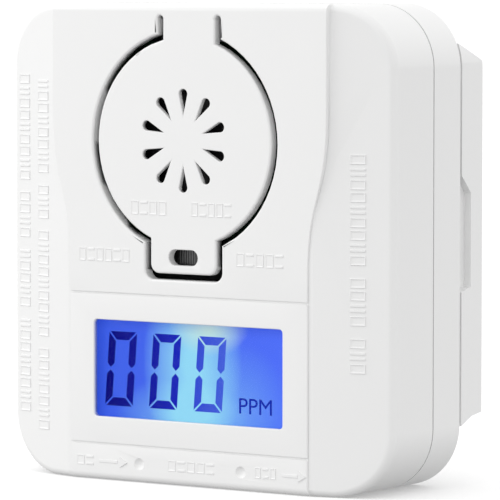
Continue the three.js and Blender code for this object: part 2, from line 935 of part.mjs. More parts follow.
function lampPieces() {
  const lampRadius = 1.5;
  const lampPitch = 3.6;
  const clearance = 2; // room for the button to move in
  const domeDepth = 0.8;
  const domeSide = 0.2;
  const margin = 0.4;
  const yTip = yButtonBack + clearance;
  const yBase = yBoard - gap;
  const holderThickness = 1.4;
  const lamp = (x) =>
    turnedY(
      [
        [0, yBase - holderThickness - gap],
        [lampRadius, yBase - holderThickness - gap],
        [lampRadius, yTip + domeDepth],
        [lampRadius * 0.7, yTip + domeSide],
        [0, yTip],
      ].reverse(),
      x,
      lampWindowAt,
      16,
    );
  addPiece("operate_led", lamp(tongueShift - lampPitch / 2), finish.greenLamp);
  addPiece("alarm_led", lamp(tongueShift + lampPitch / 2), finish.redLamp);
  const half = lampPitch / 2 + lampRadius + margin;
  const holder = box(
    tongueShift - half,
    tongueShift + half,
    yBase - holderThickness,
    yBase,
    lampWindowAt - lampRadius - margin,
    lampWindowAt + lampRadius + margin,
  );
  addPiece("led_holder", holder, finish.blackPlastic);
}

lampPieces();

function controlChip() {
  const half = 5;
  const thickness = 1.6;
  const markInset = 1.6;
  const markRadius = 0.6;
  const markDepth = 0.3;
  const yTop = yOnBoard + thickness;
  const x = -sideColumnX;
  const body = box(x - half, x + half, yOnBoard, yTop, chipHeight - half, chipHeight + half);
  const corner = half - markInset;
  const mark = barY(x - corner, chipHeight + corner, markRadius, yTop - markDepth, yTop + 1, 10);
  addPiece("control_chip", cut(body, mark), finish.blackPlastic);
}

function timingCrystal() {
  const halfLength = 5.5;
  const halfWidthOfCan = 2;
  const thickness = 3.4;
  const outline = roundedRectangle(
    -sideColumnX - halfLength,
    -sideColumnX + halfLength,
    crystalHeight - halfWidthOfCan,
    crystalHeight + halfWidthOfCan,
    halfWidthOfCan - 0.1,
  );
  addPiece("crystal", slab(outline, yOnBoard, yOnBoard + thickness, 5), finish.steel);
}

function capacitors() {
  const radius = 3.15;
  const length = 8;
  const neckAt = 1.4;
  const neckHalf = 0.4;
  const neckDepth = 0.3;
  const pitch = 8;
  [-sideColumnX - pitch / 2, -sideColumnX + pitch / 2].forEach((x, i) => {
    const can = turnedY(
      [
        [0, yOnBoard],
        [radius, yOnBoard],
        [radius, yOnBoard + neckAt - neckHalf],
        [radius - neckDepth, yOnBoard + neckAt],
        [radius, yOnBoard + neckAt + neckHalf],
        [radius, yOnBoard + length],
        [0, yOnBoard + length],
      ],
      x,
      capacitorHeight,
      18,
    );
    addPiece(`capacitor_${i + 1}`, can, finish.aluminium);
  });
}

function coil() {
  const flange = 5;
  const core = 2.6;
  const length = 9;
  const flangeThickness = 1;
  const windingInset = 0.6;
  const yEnd = yOnBoard + length;
  const bobbin = turnedY(
    [
      [0, yOnBoard],
      [flange, yOnBoard],
      [flange, yOnBoard + flangeThickness],
      [core, yOnBoard + flangeThickness],
      [core, yEnd - flangeThickness],
      [flange, yEnd - flangeThickness],
      [flange, yEnd],
      [0, yEnd],
    ],
    -sideColumnX,
    coilHeight,
    20,
  );
  addPiece("coil_bobbin", bobbin, finish.blackPlastic);
  const inside = core + gap;
  const outside = flange - windingInset;
  const yLow = yOnBoard + flangeThickness + gap;
  const yHigh = yEnd - flangeThickness - gap;
  const winding = turnedY(
    [
      [inside, yLow],
      [outside, yLow],
      [outside, yHigh],
      [inside, yHigh],
      [inside, yLow],
    ],
    -sideColumnX,
    coilHeight,
    20,
  );
  addPiece("coil_winding", winding, finish.copper);
}

controlChip();
timingCrystal();
capacitors();
coil();

function powerSwitchPieces() {
  const half = powerSwitchSize / 2;
  const roomBehind = 2.4;
  const seat = 2;
  const yTop = yRearFloor - roomBehind;
  const yPlungerEnd = yTop - seat;
  const wellRadius = powerPlungerRadius + gap;
  const well = barY(0, powerSwitchHeight, wellRadius, yPlungerEnd - powerPlungerTravel, yTop + 1, 16);
  const body = box(-half, half, yOnBoard, yTop, powerSwitchHeight - half, powerSwitchHeight + half);
  addPiece("power_switch_body", cut(body, well), finish.blackPlastic);
  const yTip = yRearBack + powerPlungerReach;
  const plunger = barY(0, powerSwitchHeight, powerPlungerRadius, yPlungerEnd, yTip, 16);
  addPiece("power_switch_plunger", plunger, finish.whiteInner);
}

powerSwitchPieces();

// ---------------------------------------------------------------- battery bay

// A conical coil spring's centre line, widest where it is fixed.
class SpringLine extends THREE.Curve {
  constructor(x, zFixed, zTip) {
    super();
    Object.assign(this, { x, zFixed, zTip });
  }

  getPoint(t, target = new THREE.Vector3()) {
    const radius = springRadius + (springTipRadius - springRadius) * t;
    const angle = t * springTurns * 2 * Math.PI;
    const z = this.zFixed + (this.zTip - this.zFixed) * t;
    return target.set(this.x + radius * Math.cos(angle), yCell + radius * Math.sin(angle), z);
  }
}

const cellsPointingDown = [1];
const springEndBottom = bayBottom + gap + contactThickness;
const springEndTop = bayTop - gap - contactThickness;

function batteryPieces() {
  cellX.forEach((x, i) => {
    const down = cellsPointingDown.includes(i);
    const sign = down ? -1 : 1;
    const base = down ? springEndTop - 2 * gap - springLength : springEndBottom + 2 * gap + springLength;
    const profile = [
      [0, 0],
      [cellRadius - cellBevel, 0],
      [cellRadius, cellBevel],
      [cellRadius, cellLength - cellBevel],
      [cellRadius - cellBevel, cellLength],
      [cellNubRadius, cellLength],
      [cellNubRadius, cellLength + cellNubLength],
      [0, cellLength + cellNubLength],
    ].map(([radius, z]) => [radius, base + sign * z]);
    const cell = turnedZ(down ? profile.reverse() : profile, x, yCell, 28);
    addPiece(`battery_cell_${i + 1}`, cell, finish.cellJacket);
    const fixed = down ? springEndTop - gap - springWire : springEndBottom + gap + springWire;
    const tip = fixed + sign * (springLength - 2 * springWire);
    const spring = wire(new SpringLine(x, fixed, tip), springWire, springSteps * springTurns);
    addPiece(`battery_spring_${i + 1}`, spring, finish.nickel);
  });
}

batteryPieces();

// Contact plates across one end of the bay; a plate over two cells joins them in series.
function contactPlate(name, xFrom, xTo, atTop, tabX) {
  const zFrom = atTop ? springEndTop : bayBottom + gap;
  const zTo = zFrom + contactThickness;
  const half = contactHeight / 2;
  let plate = box(xFrom - contactWidth / 2, xTo + contactWidth / 2, yCell - half, yCell + half, zFrom, zTo);
  if (tabX !== undefined) {
    const reach = bayWall + gap + tabReach;
    const tabFrom = atTop ? zFrom : zTo - contactThickness - reach;
    const tabTo = atTop ? zTo + reach : zTo;
    const left = tabX - tabWidth / 2;
    const right = tabX + tabWidth / 2;
    const link = box(left, right, yTab, yCell, zFrom, zTo);
    const tab = box(left, right, yTab, yTab + contactThickness, tabFrom, tabTo);
    plate = join(plate, link, tab);
  }
  addPiece(name, plate, finish.nickel);
}

const lastX = cellX[cellCount - 1];
contactPlate("positive_terminal", cellX[0], cellX[0], true, cellX[0]);
contactPlate("contact_bridge_upper", cellX[1], lastX, true);
contactPlate("contact_bridge_lower", cellX[0], cellX[1], false);
contactPlate("negative_terminal", lastX, lastX, false, lastX);

// Leads from the two end contacts to the board. The wire's end is square to its own slant, so it stands
// a little further from the contact's tab.
const leadTilt = 0.15;

function batteryLead(name, x, zTab, direction, colour) {
  const leadRadius = 0.6;
  const tabEnd = zTab + direction * (gap + leadTilt);
  const yLead = yTab + contactThickness / 2;
  const curve = new THREE.CatmullRomCurve3([
    new THREE.Vector3(x, yLead, tabEnd),
    new THREE.Vector3(x, yLead - 0.6, tabEnd + direction * 1.4),
    new THREE.Vector3(x - 1, yLead - 2.4, tabEnd + direction * 1.8),
    new THREE.Vector3(x - 1.6, yOnBoard + 0.2, tabEnd + direction * 1.2),
  ]);
  addPiece(name, wire(curve, leadRadius, 10, 8), colour);
}

const tabOut = bayWall + gap + tabReach;
batteryLead("battery_lead_red", cellX[0], springEndTop + contactThickness + tabOut, 1, finish.redLead);
batteryLead("battery_lead_black", lastX, bayBottom + gap - tabOut, -1, finish.blackLead);

// ---------------------------------------------------------------- screws

// A pan-head screw along Y with its head at the back.
function screw(x, z, yHeadFront, headHeight, headRadius, shankRadius, length) {
  const yHeadBack = yHeadFront + headHeight;
  const slotDepth = headHeight * 0.5;
  const headBevel = 0.4;
  const body = turnedY(
    [
      [0, yHeadFront - length],
      [shankRadius * 0.5, yHeadFront - length],
      [shankRadius, yHeadFront - length + shankRadius],
      [shankRadius, yHeadFront],
      [headRadius, yHeadFront],
      [headRadius, yHeadBack - headBevel],
      [headRadius - headBevel, yHeadBack],
      [0, yHeadBack],
    ],
    x,
    z,
    16,
  );
  const arm = headRadius * 0.6;
  const half = headRadius * 0.12;
  const across = box(x - arm, x + arm, yHeadBack - slotDepth, yHeadBack + 1, z - half, z + half);
  const along = box(x - half, x + half, yHeadBack - slotDepth, yHeadBack + 1, z - arm, z + arm);
  return cut(body, across, along);
}

function screws() {
  let count = 0;
  for (const x of [-housingPostX, housingPostX]) {
    for (const z of [housingPostInset, height - housingPostInset]) {
      count += 1;
      const yHead = yRearBack - housingHeadHeight;
      const length = housingScrewLength - housingHeadHeight;
      const body = screw(x, z, yHead, housingHeadHeight, housingHeadRadius, housingScrewRadius, length);
      addPiece(`housing_screw_${count}`, body, finish.steel);
    }
  }
  count = 0;
  for (const x of [-boardPostX, boardPostX]) {
    for (const z of boardPostHeights) {
      count += 1;
      const length = boardScrewLength;
      const body = screw(x, z, yOnBoard, boardHeadHeight, boardHeadRadius, boardScrewRadius, length);
      addPiece(`board_screw_${count}`, body, finish.steel);
    }
  }
}

screws();

export default object;
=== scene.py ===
import math

import bmesh
import bpy
from mathutils import Matrix, Vector


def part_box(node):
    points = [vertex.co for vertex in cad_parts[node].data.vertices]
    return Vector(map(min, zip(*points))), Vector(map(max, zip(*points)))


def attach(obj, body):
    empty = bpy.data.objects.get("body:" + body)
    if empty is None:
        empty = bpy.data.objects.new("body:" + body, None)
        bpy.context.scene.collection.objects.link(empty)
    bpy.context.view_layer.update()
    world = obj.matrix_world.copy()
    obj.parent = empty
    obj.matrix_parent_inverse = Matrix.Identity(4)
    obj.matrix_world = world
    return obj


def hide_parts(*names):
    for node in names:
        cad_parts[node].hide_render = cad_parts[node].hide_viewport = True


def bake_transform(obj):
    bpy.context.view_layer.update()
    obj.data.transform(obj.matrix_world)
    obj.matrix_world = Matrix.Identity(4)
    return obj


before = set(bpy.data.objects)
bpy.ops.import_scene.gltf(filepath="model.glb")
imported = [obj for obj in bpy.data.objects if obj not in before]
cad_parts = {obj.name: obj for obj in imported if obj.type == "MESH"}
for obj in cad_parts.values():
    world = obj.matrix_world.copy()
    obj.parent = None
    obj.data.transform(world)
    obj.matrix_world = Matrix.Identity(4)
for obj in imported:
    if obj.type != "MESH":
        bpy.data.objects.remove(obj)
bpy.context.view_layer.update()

bl_info = {
    "name": "Carbon monoxide alarm",
    "version": (1, 0, 0),
    "blender": (4, 5, 0),
    "location": "View3D > Sidebar > Alarm",
    "description": "Builds the looks of a carbon monoxide alarm round its solid parts",
    "category": "Object",
}

# ---------------------------------------------------------------- places taken from the solid parts

MM = 0.001
MARK_HEIGHT = 0.2 * MM
STROKE = 0.5 * MM
SKIN = 0.05 * MM  # the finished cover lies this far inside the solid one, so that its surface is its own
HAIR = 0.01 * MM

cover_low, cover_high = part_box("front_cover")
HALF_WIDTH = cover_high.x
TOP = cover_high.z
FACE = cover_low.y + MARK_HEIGHT
SEAM = cover_high.y
flap_low, flap_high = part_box("test_button")
FLAP_BACK = FACE + 2 * MM
rear_low, rear_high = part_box("rear_cover")
bracket_low, bracket_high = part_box("mounting_bracket")
glass_low, glass_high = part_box("lcd_glass")
GLASS_FACE = glass_low.y


def display_colour(red, green, blue):
    """A colour as a screen shows it, 0 to 255, as the light it stands for."""
    def linear(value):
        share = value / 255
        return share / 12.92 if share <= 0.04045 else ((share + 0.055) / 1.055) ** 2.4

    return (linear(red), linear(green), linear(blue))


# ---------------------------------------------------------------- settings


def length(name, description, default):
    return bpy.props.FloatProperty(
        name=name, description=description, default=default, min=0, unit="LENGTH", precision=5
    )


def colour(name, description, default):
    return bpy.props.FloatVectorProperty(
        name=name, description=description, default=default, min=0, max=1, size=3, subtype="COLOR"
    )


def share(name, description, default):
    return bpy.props.FloatProperty(
        name=name, description=description, default=default, min=0, max=1, subtype="FACTOR"
    )


class AlarmShellSettings(bpy.types.PropertyGroup):
    """Shape and finish of the white shells."""

    outline_radius: length("Outline radius", "Radius of the housing's four corners", 13.2 * MM)
    fillet: length("Front fillet", "Radius where the face meets the sides", 1.5 * MM)
    band_start: length("Band start", "From the middle to where the bands begin", 31 * MM)
    band_step: length("Panel step", "How far the centre panel stands in front of the bands", 0.4 * MM)
    band_drop: length("Band drop", "How far back a band is at the housing's side", 4.4 * MM)
    panel_top: length("Panel half width, top", "Half the panel's width round the button", 34.4 * MM)
    panel_bottom: length("Panel half width, bottom", "Half its width round the display", 29.9 * MM)
    panel_wide: length("Panel wide above", "Height above which the panel is at its widest", 77 * MM)
    panel_narrow: length("Panel narrow below", "Height below which it is at its narrowest", 45 * MM)
    panel_edge: length("Panel edge", "Rounding of the panel's long edges", 0.3 * MM)
    slot_edge: length("Slot edge", "Rounding along the slot round the button", 0.5 * MM)
    hole_edge: length("Hole edge", "Rounding of the sound holes and the lamp window", 0.2 * MM)
    display_edge: length("Display edge", "Rounding of the display's opening", 0.25 * MM)
    corner: length("Corner", "Rounding where the button's neck and tongue meet its pad", 1.1 * MM)
    back_edge: length("Back edge", "Rounding of the rear cover's and bracket's edges", 0.5 * MM)
    slot_width: length("Slot width", "Width of the slot round the test button", 1.4 * MM)
    hinge_line: length("Hinge line", "Height at which the slots beside the neck end", 96.8 * MM)
    dimple_radius: length("Dimple radius", "Radius of the two dimples by the base", 1.3 * MM)
    white: colour("White", "Colour of the moulded shells", (0.80, 0.80, 0.798))
    grain: share("Grain", "Strength of the moulded surface's fine grain", 0.10)


class AlarmDisplaySettings(bpy.types.PropertyGroup):
    """The lit readout."""

    digit_height: length("Digit height", "Height of a digit", 15.7 * MM)
    digit_width: length("Digit width", "Width of a digit", 7.1 * MM)
    stroke: length("Stroke", "Width of a segment", 1.75 * MM)
    split: length("Split", "Space between two segments", 0.28 * MM)
    lean: bpy.props.FloatProperty(
        name="Lean", description="How far the digits lean to the right",
        default=math.radians(4.4), unit="ROTATION",
    )
    left_blue: colour("Left blue", "Backlight at the left end", display_colour(60, 96, 236))
    right_blue: colour("Right blue", "Backlight at the right end", display_colour(78, 112, 255))
    glow: colour("Glow", "Brightest part of the backlight", display_colour(150, 224, 252))


class AlarmStudioSettings(bpy.types.PropertyGroup):
    """Floor, lights and camera."""

    floor: colour("Floor", "Colour of the floor", (0.88, 0.88, 0.88))
    sky: bpy.props.FloatProperty(
        name="Sky", description="Strength of the even light from all round", default=1.15, min=0
    )
    key: bpy.props.FloatProperty(
        name="Key light", description="Power of the soft light at the left", default=1.2, min=0
    )
    lens: bpy.props.FloatProperty(
        name="Lens", description="Focal length in millimetres", default=299.4, min=1
    )


# ---------------------------------------------------------------- mesh helpers


def block(low, high):
    """A box between two corners."""
    low = Vector(low)
    high = Vector(high)
    bm = bmesh.new()
    bmesh.ops.create_cube(bm, size=1)
    bmesh.ops.scale(bm, vec=high - low, verts=bm.verts)
    bmesh.ops.translate(bm, vec=(low + high) / 2, verts=bm.verts)
    return bm


def bevel(bm, edges, offset, segments, clamp=True):
    bmesh.ops.bevel(
        bm, geom=edges, offset=offset, offset_type="OFFSET", segments=segments, profile=0.5,
        affect="EDGES", clamp_overlap=clamp, material=-1,
    )
    bm.normal_update()


def edges_along(bm, axis):
    """The edges that run along an axis: 0 for X, 1 for Y, 2 for Z."""
    found = []
    for edge in bm.edges:
        way = edge.verts[1].co - edge.verts[0].co
        if abs(way[axis]) > 0.999 * way.length:
            found.append(edge)
    return found


def rounded_block(low, high, radius, segments=20):
    """A box whose corners are rounded as seen from the front."""
    bm = block(low, high)
    bevel(bm, edges_along(bm, 1), radius, segments)
    return bm


def rim_edges(bm, y, reach=HAIR):
    """The edges of the front outline: between a face that looks forwards and one that looks sideways."""
    found = []
    for edge in bm.edges:
        if len(edge.link_faces) != 2:
            continue
        forward = sorted(-face.normal.y for face in edge.link_faces)
        if forward[0] < 0.2 and forward[1] > 0.8 and min(v.co.y for v in edge.verts) < y + reach:
            found.append(edge)
    return found


def cut_away(bm, point, normal):
    """Takes off everything on the side of a plane that its normal points to, and closes the cut."""
    made = bmesh.ops.bisect_plane(
        bm, geom=[*bm.verts, *bm.edges, *bm.faces], dist=1e-7, plane_co=point, plane_no=normal,
        clear_outer=True,
    )
    edges = [item for item in made["geom_cut"] if isinstance(item, bmesh.types.BMEdge)]
    bmesh.ops.edgeloop_fill(bm, edges=edges)
    bm.normal_update()


def bar_along_y(x, z, radius, y_from, y_to, sides=24):
    bm = bmesh.new()
    bmesh.ops.create_cone(
        bm, cap_ends=True, segments=sides, radius1=radius, radius2=radius, depth=y_to - y_from,
        matrix=Matrix.Translation((x, (y_from + y_to) / 2, z)) @ Matrix.Rotation(math.pi / 2, 4, "X"),
    )
    return bm


def piece(name, bm):
    """A new object from a bmesh, at the origin, with its place in its mesh."""
    mesh = bpy.data.meshes.new(name)
    bmesh.ops.recalc_face_normals(bm, faces=bm.faces)
    bm.to_mesh(mesh)
    bm.free()
    made = bpy.data.objects.new(name, mesh)
    bpy.context.scene.collection.objects.link(made)
    return made


def merged_copy(node, name):
    """A copy of a solid part's mesh with its corners joined."""
    bm = bmesh.new()
    bm.from_mesh(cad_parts[node].data)
    bmesh.ops.remove_doubles(bm, verts=bm.verts, dist=1e-6)
    mesh = bpy.data.meshes.new(name)
    bm.to_mesh(mesh)
    bm.free()
    mesh.materials.clear()
    made = bpy.data.objects.new(name, mesh)
    bpy.context.scene.collection.objects.link(made)
    return made


def combine(target, operation, *tools):
    """Joins, cuts or intersects a piece with others, which are used up."""
    for tool in tools:
        step = target.modifiers.new("combine", "BOOLEAN")
        step.operation = operation
        step.solver = "EXACT"
        step.object = tool
        bpy.context.view_layer.update()
        ready = target.evaluated_get(bpy.context.evaluated_depsgraph_get())
        mesh = bpy.data.meshes.new_from_object(ready)
        target.modifiers.clear()
        target.data = mesh
        bpy.data.objects.remove(tool)
    target.data.materials.clear()
    return target


def tidy_faces(made, angle=math.radians(0.3)):
    """Joins flat neighbours, so that only real edges are left."""
    bm = bmesh.new()
    bm.from_mesh(made.data)
    bmesh.ops.remove_doubles(bm, verts=bm.verts, dist=2e-6)
    bmesh.ops.dissolve_limit(bm, angle_limit=angle, verts=bm.verts, edges=bm.edges)
    bm.to_mesh(made.data)
    bm.free()
    made.data.update()


def soften(made, offset, segments, wanted, least=math.radians(50)):
    """Rounds the sharp outward edges whose middle passes a test."""
    bm = bmesh.new()
    bm.from_mesh(made.data)
    bm.normal_update()
    chosen = []
    for edge in bm.edges:
        if len(edge.link_faces) != 2 or not edge.is_convex:
            continue
        middle = (edge.verts[0].co + edge.verts[1].co) / 2
        if edge.calc_face_angle(0) > least and wanted(middle):
            chosen.append(edge)
    bevel(bm, chosen, offset, segments, clamp=False)
    bmesh.ops.remove_doubles(bm, verts=bm.verts, dist=2e-6)
    bm.to_mesh(made.data)
    bm.free()
    made.data.update()


def round_corners(made, radius, wanted):
    """Rounds, as seen from the front, the corners that pass a test."""
    bm = bmesh.new()
    bm.from_mesh(made.data)
    bm.normal_update()
    upright = [edge for edge in edges_along(bm, 1) if len(edge.link_faces) == 2]
    middles = {edge: (edge.verts[0].co + edge.verts[1].co) / 2 for edge in upright}
    chosen = [e for e in upright if e.calc_face_angle(0) > math.radians(20) and wanted(middles[e])]
    crowding = []  # facets too close to a corner to leave room for its rounding
    for edge in upright:
        if edge in chosen:
            continue
        ways = [middles[edge] - middles[corner] for corner in chosen]
        if any(math.hypot(way.x, way.z) < radius * 1.4 for way in ways):
            crowding.append(edge)
    bmesh.ops.dissolve_edges(bm, edges=crowding, use_verts=True)
    bm.normal_update()
    bevel(bm, [edge for edge in chosen if edge.is_valid], radius, 5)
    bm.to_mesh(made.data)
    bm.free()
    made.data.update()


def by_pad_corner(point):
    """Whether a point is where the button's neck or tongue meets its pad."""
    neck = 91 * MM < point.z < 94.5 * MM and abs(point.x - 0.5 * MM) < 9 * MM
    tongue = 49 * MM < point.z < 52.5 * MM and abs(point.x + 0.9 * MM) < 10.5 * MM
    return neck or tongue


def refill_flat_faces(mesh, most_corners=12):
    """Fills flat stretches with many corners again, with triangles from rim to rim, so that openings stay open."""
    bm = bmesh.new()
    bm.from_mesh(mesh)
    bm.normal_update()
    planes = {}
    for face in bm.faces:
        normal = face.normal
        key = (*(round(part, 3) for part in normal), round(normal.dot(face.verts[0].co) / HAIR))
        planes.setdefault(key, []).append(face)
    for faces in planes.values():
        if max(len(face.verts) for face in faces) <= most_corners:
            continue
        normal = faces[0].normal.copy()
        inside = set(faces)
        edges = {edge for face in faces for edge in face.edges}
        rim = [edge for edge in edges if sum(face in inside for face in edge.link_faces) == 1]
        inner = list(edges.difference(rim))
        bmesh.ops.delete(bm, geom=faces, context="FACES_ONLY")
        bmesh.ops.delete(bm, geom=inner, context="EDGES")
        bmesh.ops.triangle_fill(bm, use_beauty=True, use_dissolve=False, edges=rim, normal=normal)
    bm.normal_update()
    bm.to_mesh(mesh)
    bm.free()


def shade(made, sharp=math.radians(32)):
    """Smooth shading over rounded stretches, with flat faces kept flat."""
    mesh = made.data
    refill_flat_faces(mesh)
    for polygon in mesh.polygons:
        polygon.use_smooth = True
    mesh.set_sharp_from_angle(angle=sharp)
    normals = made.modifiers.new("flat faces", "WEIGHTED_NORMAL")
    normals.keep_sharp = True
    normals.weight = 80
    return made


def dress(made, material):
    made.data.materials.clear()
    made.data.materials.append(material)
    return made


# ---------------------------------------------------------------- shader helpers


class Signal:
    """A number or colour in a material; + - * / and powers on it add the nodes that work them out."""

    def __init__(self, shader, socket):
        self.shader = shader
        self.socket = socket

    def sum_up(self, operation, first, second, clamp=False):
        settings = {"operation": operation, "use_clamp": clamp}
        return self.shader.node("ShaderNodeMath", settings, {0: first, 1: second})

    def __add__(self, other):
        return self.sum_up("ADD", self, other)

    __radd__ = __add__

    def __sub__(self, other):
        return self.sum_up("SUBTRACT", self, other)

    def __rsub__(self, other):
        return self.sum_up("SUBTRACT", other, self)

    def __mul__(self, other):
        return self.sum_up("MULTIPLY", self, other)

    __rmul__ = __mul__

    def __truediv__(self, other):
        return self.sum_up("DIVIDE", self, other)

    def __pow__(self, other):
        return self.sum_up("POWER", self, other)

    def limited(self):
        return self.sum_up("ADD", self, 0, clamp=True)

    def above(self, level):
        return self.sum_up("GREATER_THAN", self, level)


class Shader:
    """A material under construction."""

    def __init__(self, name):
        self.material = bpy.data.materials.new(name)
        self.material.use_nodes = True
        self.tree = self.material.node_tree
        self.surface = self.tree.nodes["Principled BSDF"]

    def node(self, kind, settings=None, inputs=None, output=0):
        made = self.tree.nodes.new(kind)
        for key, value in (settings or {}).items():
            if key == "stops":
                self.set_stops(made.color_ramp, value)
            else:
                setattr(made, key, value)
        for key, value in (inputs or {}).items():
            self.feed(made.inputs[key], value)
        return Signal(self, made.outputs[output])

    @staticmethod
    def set_stops(ramp, stops):
        while len(ramp.elements) < len(stops):
            ramp.elements.new(1)
        for element, (position, value) in zip(ramp.elements, stops):
            element.position = position
            element.color = (*value, 1)

    def feed(self, socket, value):
        if isinstance(value, Signal):
            self.tree.links.new(value.socket, socket)
        elif socket.type == "RGBA" and len(value) == 3:
            socket.default_value = (*value, 1)
        else:
            socket.default_value = value

    def set(self, **values):
        """Feeds the surface's sockets, named with underscores."""
        for key, value in values.items():
            self.feed(self.surface.inputs[key.replace("_", " ")], value)
        return self.material

    def place(self):
        return self.node("ShaderNodeTexCoord", output="Object")

    def axis(self, name):
        return self.node("ShaderNodeSeparateXYZ", inputs={"Vector": self.place()}, output=name)

    def noise(self, scale, detail=2, stretch=None):
        vector = self.place()
        if stretch:
            vector = self.node("ShaderNodeMapping", inputs={"Vector": vector, "Scale": stretch})
        return self.node("ShaderNodeTexNoise", inputs={"Vector": vector, "Scale": scale, "Detail": detail})

    def mix(self, factor, first, second):
        return self.node("ShaderNodeMix", {"data_type": "RGBA"}, {0: factor, 6: first, 7: second}, output=2)

    def bump(self, height, strength, distance):
        return self.node(
            "ShaderNodeBump", inputs={"Strength": strength, "Distance": distance, "Height": height}
        )

    def ramp(self, factor, stops):
        return self.node("ShaderNodeValToRGB", {"stops": stops}, {"Fac": factor})


def tinted(value, factor):
    return tuple(min(1, channel * factor) for channel in value[:3])


def moulded_plastic(name, base, roughness=0.45, grain=0.15, size=0.35 * MM, spread=0.03):
    """Moulded plastic: fine grain, a little unevenness in colour and gloss."""
    shader = Shader(name)
    cloud = shader.noise(1 / (14 * MM), 3)
    speck = shader.noise(1 / size, 2)
    base_colour = shader.mix(cloud, tinted(base, 1 - spread), tinted(base, 1 + spread))
    return shader.set(
        Base_Color=base_colour,
        Roughness=roughness - 0.06 + 0.12 * cloud,
        Normal=shader.bump(speck, grain, 0.02 * MM),
    )


def brushed_metal(name, base, roughness=0.3, stretch=(1, 12, 1), size=0.6 * MM):
    """Metal with fine lines along its grain and a few dull spots."""
    shader = Shader(name)
    lines = shader.noise(1 / size, 4, stretch)
    spots = shader.noise(1 / (4 * MM), 2)
    return shader.set(
        Base_Color=shader.mix(spots, tinted(base, 0.88), tinted(base, 1.08)),
        Metallic=1.0,
        Roughness=roughness - 0.08 + 0.12 * lines + 0.08 * spots,
        Normal=shader.bump(lines, 0.15, 0.02 * MM),
    )


def clear_plastic(name, base, alpha):
    """A clear cover: nearly nothing but its gloss."""
    shader = Shader(name)
    smear = shader.noise(1 / (9 * MM), 3)
    shader.material.surface_render_method = "BLENDED"
    return shader.set(
        Base_Color=shader.mix(smear, tinted(base, 0.97), base),
        Roughness=0.04 + 0.06 * smear,
        Alpha=alpha,
    )


def smoked_plastic(name):
    """Dark smoked plastic with streaks along its ribs."""
    shader = Shader(name)
    streak = shader.noise(1 / (0.9 * MM), 2, (1, 1, 0.12))
    return shader.set(
        Base_Color=shader.mix(streak, (0.015, 0.015, 0.016), (0.075, 0.076, 0.078)),
        Roughness=0.12 + 0.25 * streak,
        Coat_Weight=0.3 + 0.4 * streak,
    )


def lamp_plastic(name, base):
    """Tinted epoxy of a small lamp, lighter and darker in small clouds."""
    shader = Shader(name)
    cloud = shader.noise(1 / (1.5 * MM), 2)
    return shader.set(
        Base_Color=shader.mix(cloud, tinted(base, 0.8), tinted(base, 1.15)),
        Roughness=0.12 + 0.1 * cloud,
        Coat_Weight=0.5 + 0.2 * cloud,
    )


def circuit_board(name):
    """Green solder mask over copper tracks."""
    shader = Shader(name)
    tracks = shader.node(
        "ShaderNodeTexBrick",
        {"offset": 0.5, "squash": 1.0},
        {
            "Vector": shader.node(
                "ShaderNodeMapping",
                inputs={"Vector": shader.place(), "Rotation": (math.pi / 2, 0, 0)},
            ),
            "Scale": 90.0,
            "Mortar Size": 0.035,
            "Mortar Smooth": 0.3,
        },
        output="Fac",
    )
    weave = shader.noise(1 / (0.8 * MM), 2)
    green = shader.mix(weave, (0.008, 0.034, 0.017), (0.011, 0.044, 0.022))
    return shader.set(
        Base_Color=shader.mix(tracks, green, (0.018, 0.070, 0.034)),
        Roughness=0.32 + 0.12 * weave,
        Normal=shader.bump(tracks + 0.3 * weave, 0.3, 0.03 * MM),
    )


def wound_copper(name):
    """Enamelled wire wound round a core that lies along Y."""
    shader = Shader(name)
    turns = shader.node(
        "ShaderNodeTexWave",
        {"wave_type": "BANDS", "bands_direction": "Y", "wave_profile": "SIN"},
        {"Vector": shader.place(), "Scale": 1 / (2.4 * MM), "Distortion": 0.4},
        output="Fac",
    )
    return shader.set(
        Base_Color=shader.mix(turns, (0.33, 0.13, 0.05), (0.62, 0.30, 0.13)),
        Metallic=1.0,
        Roughness=0.30 + 0.15 * turns,
        Normal=shader.bump(turns, 0.6, 0.08 * MM),
    )


def cell_sleeve(name, base, low, high):
    """Printed film round a cell: a dark body with a lighter band near one end."""
    shader = Shader(name)
    height = (shader.axis("Z") - low) / (high - low)
    scuff = shader.noise(1 / (2.5 * MM), 3)
    band = height.above(0.80)
    return shader.set(
        Base_Color=shader.mix(band, tinted(base, 0.8), (0.62, 0.40, 0.16)),
        Metallic=0.2 + 0.5 * band,
        Roughness=0.25 + 0.15 * scuff,
        Normal=shader.bump(scuff, 0.05, 0.03 * MM),
    )


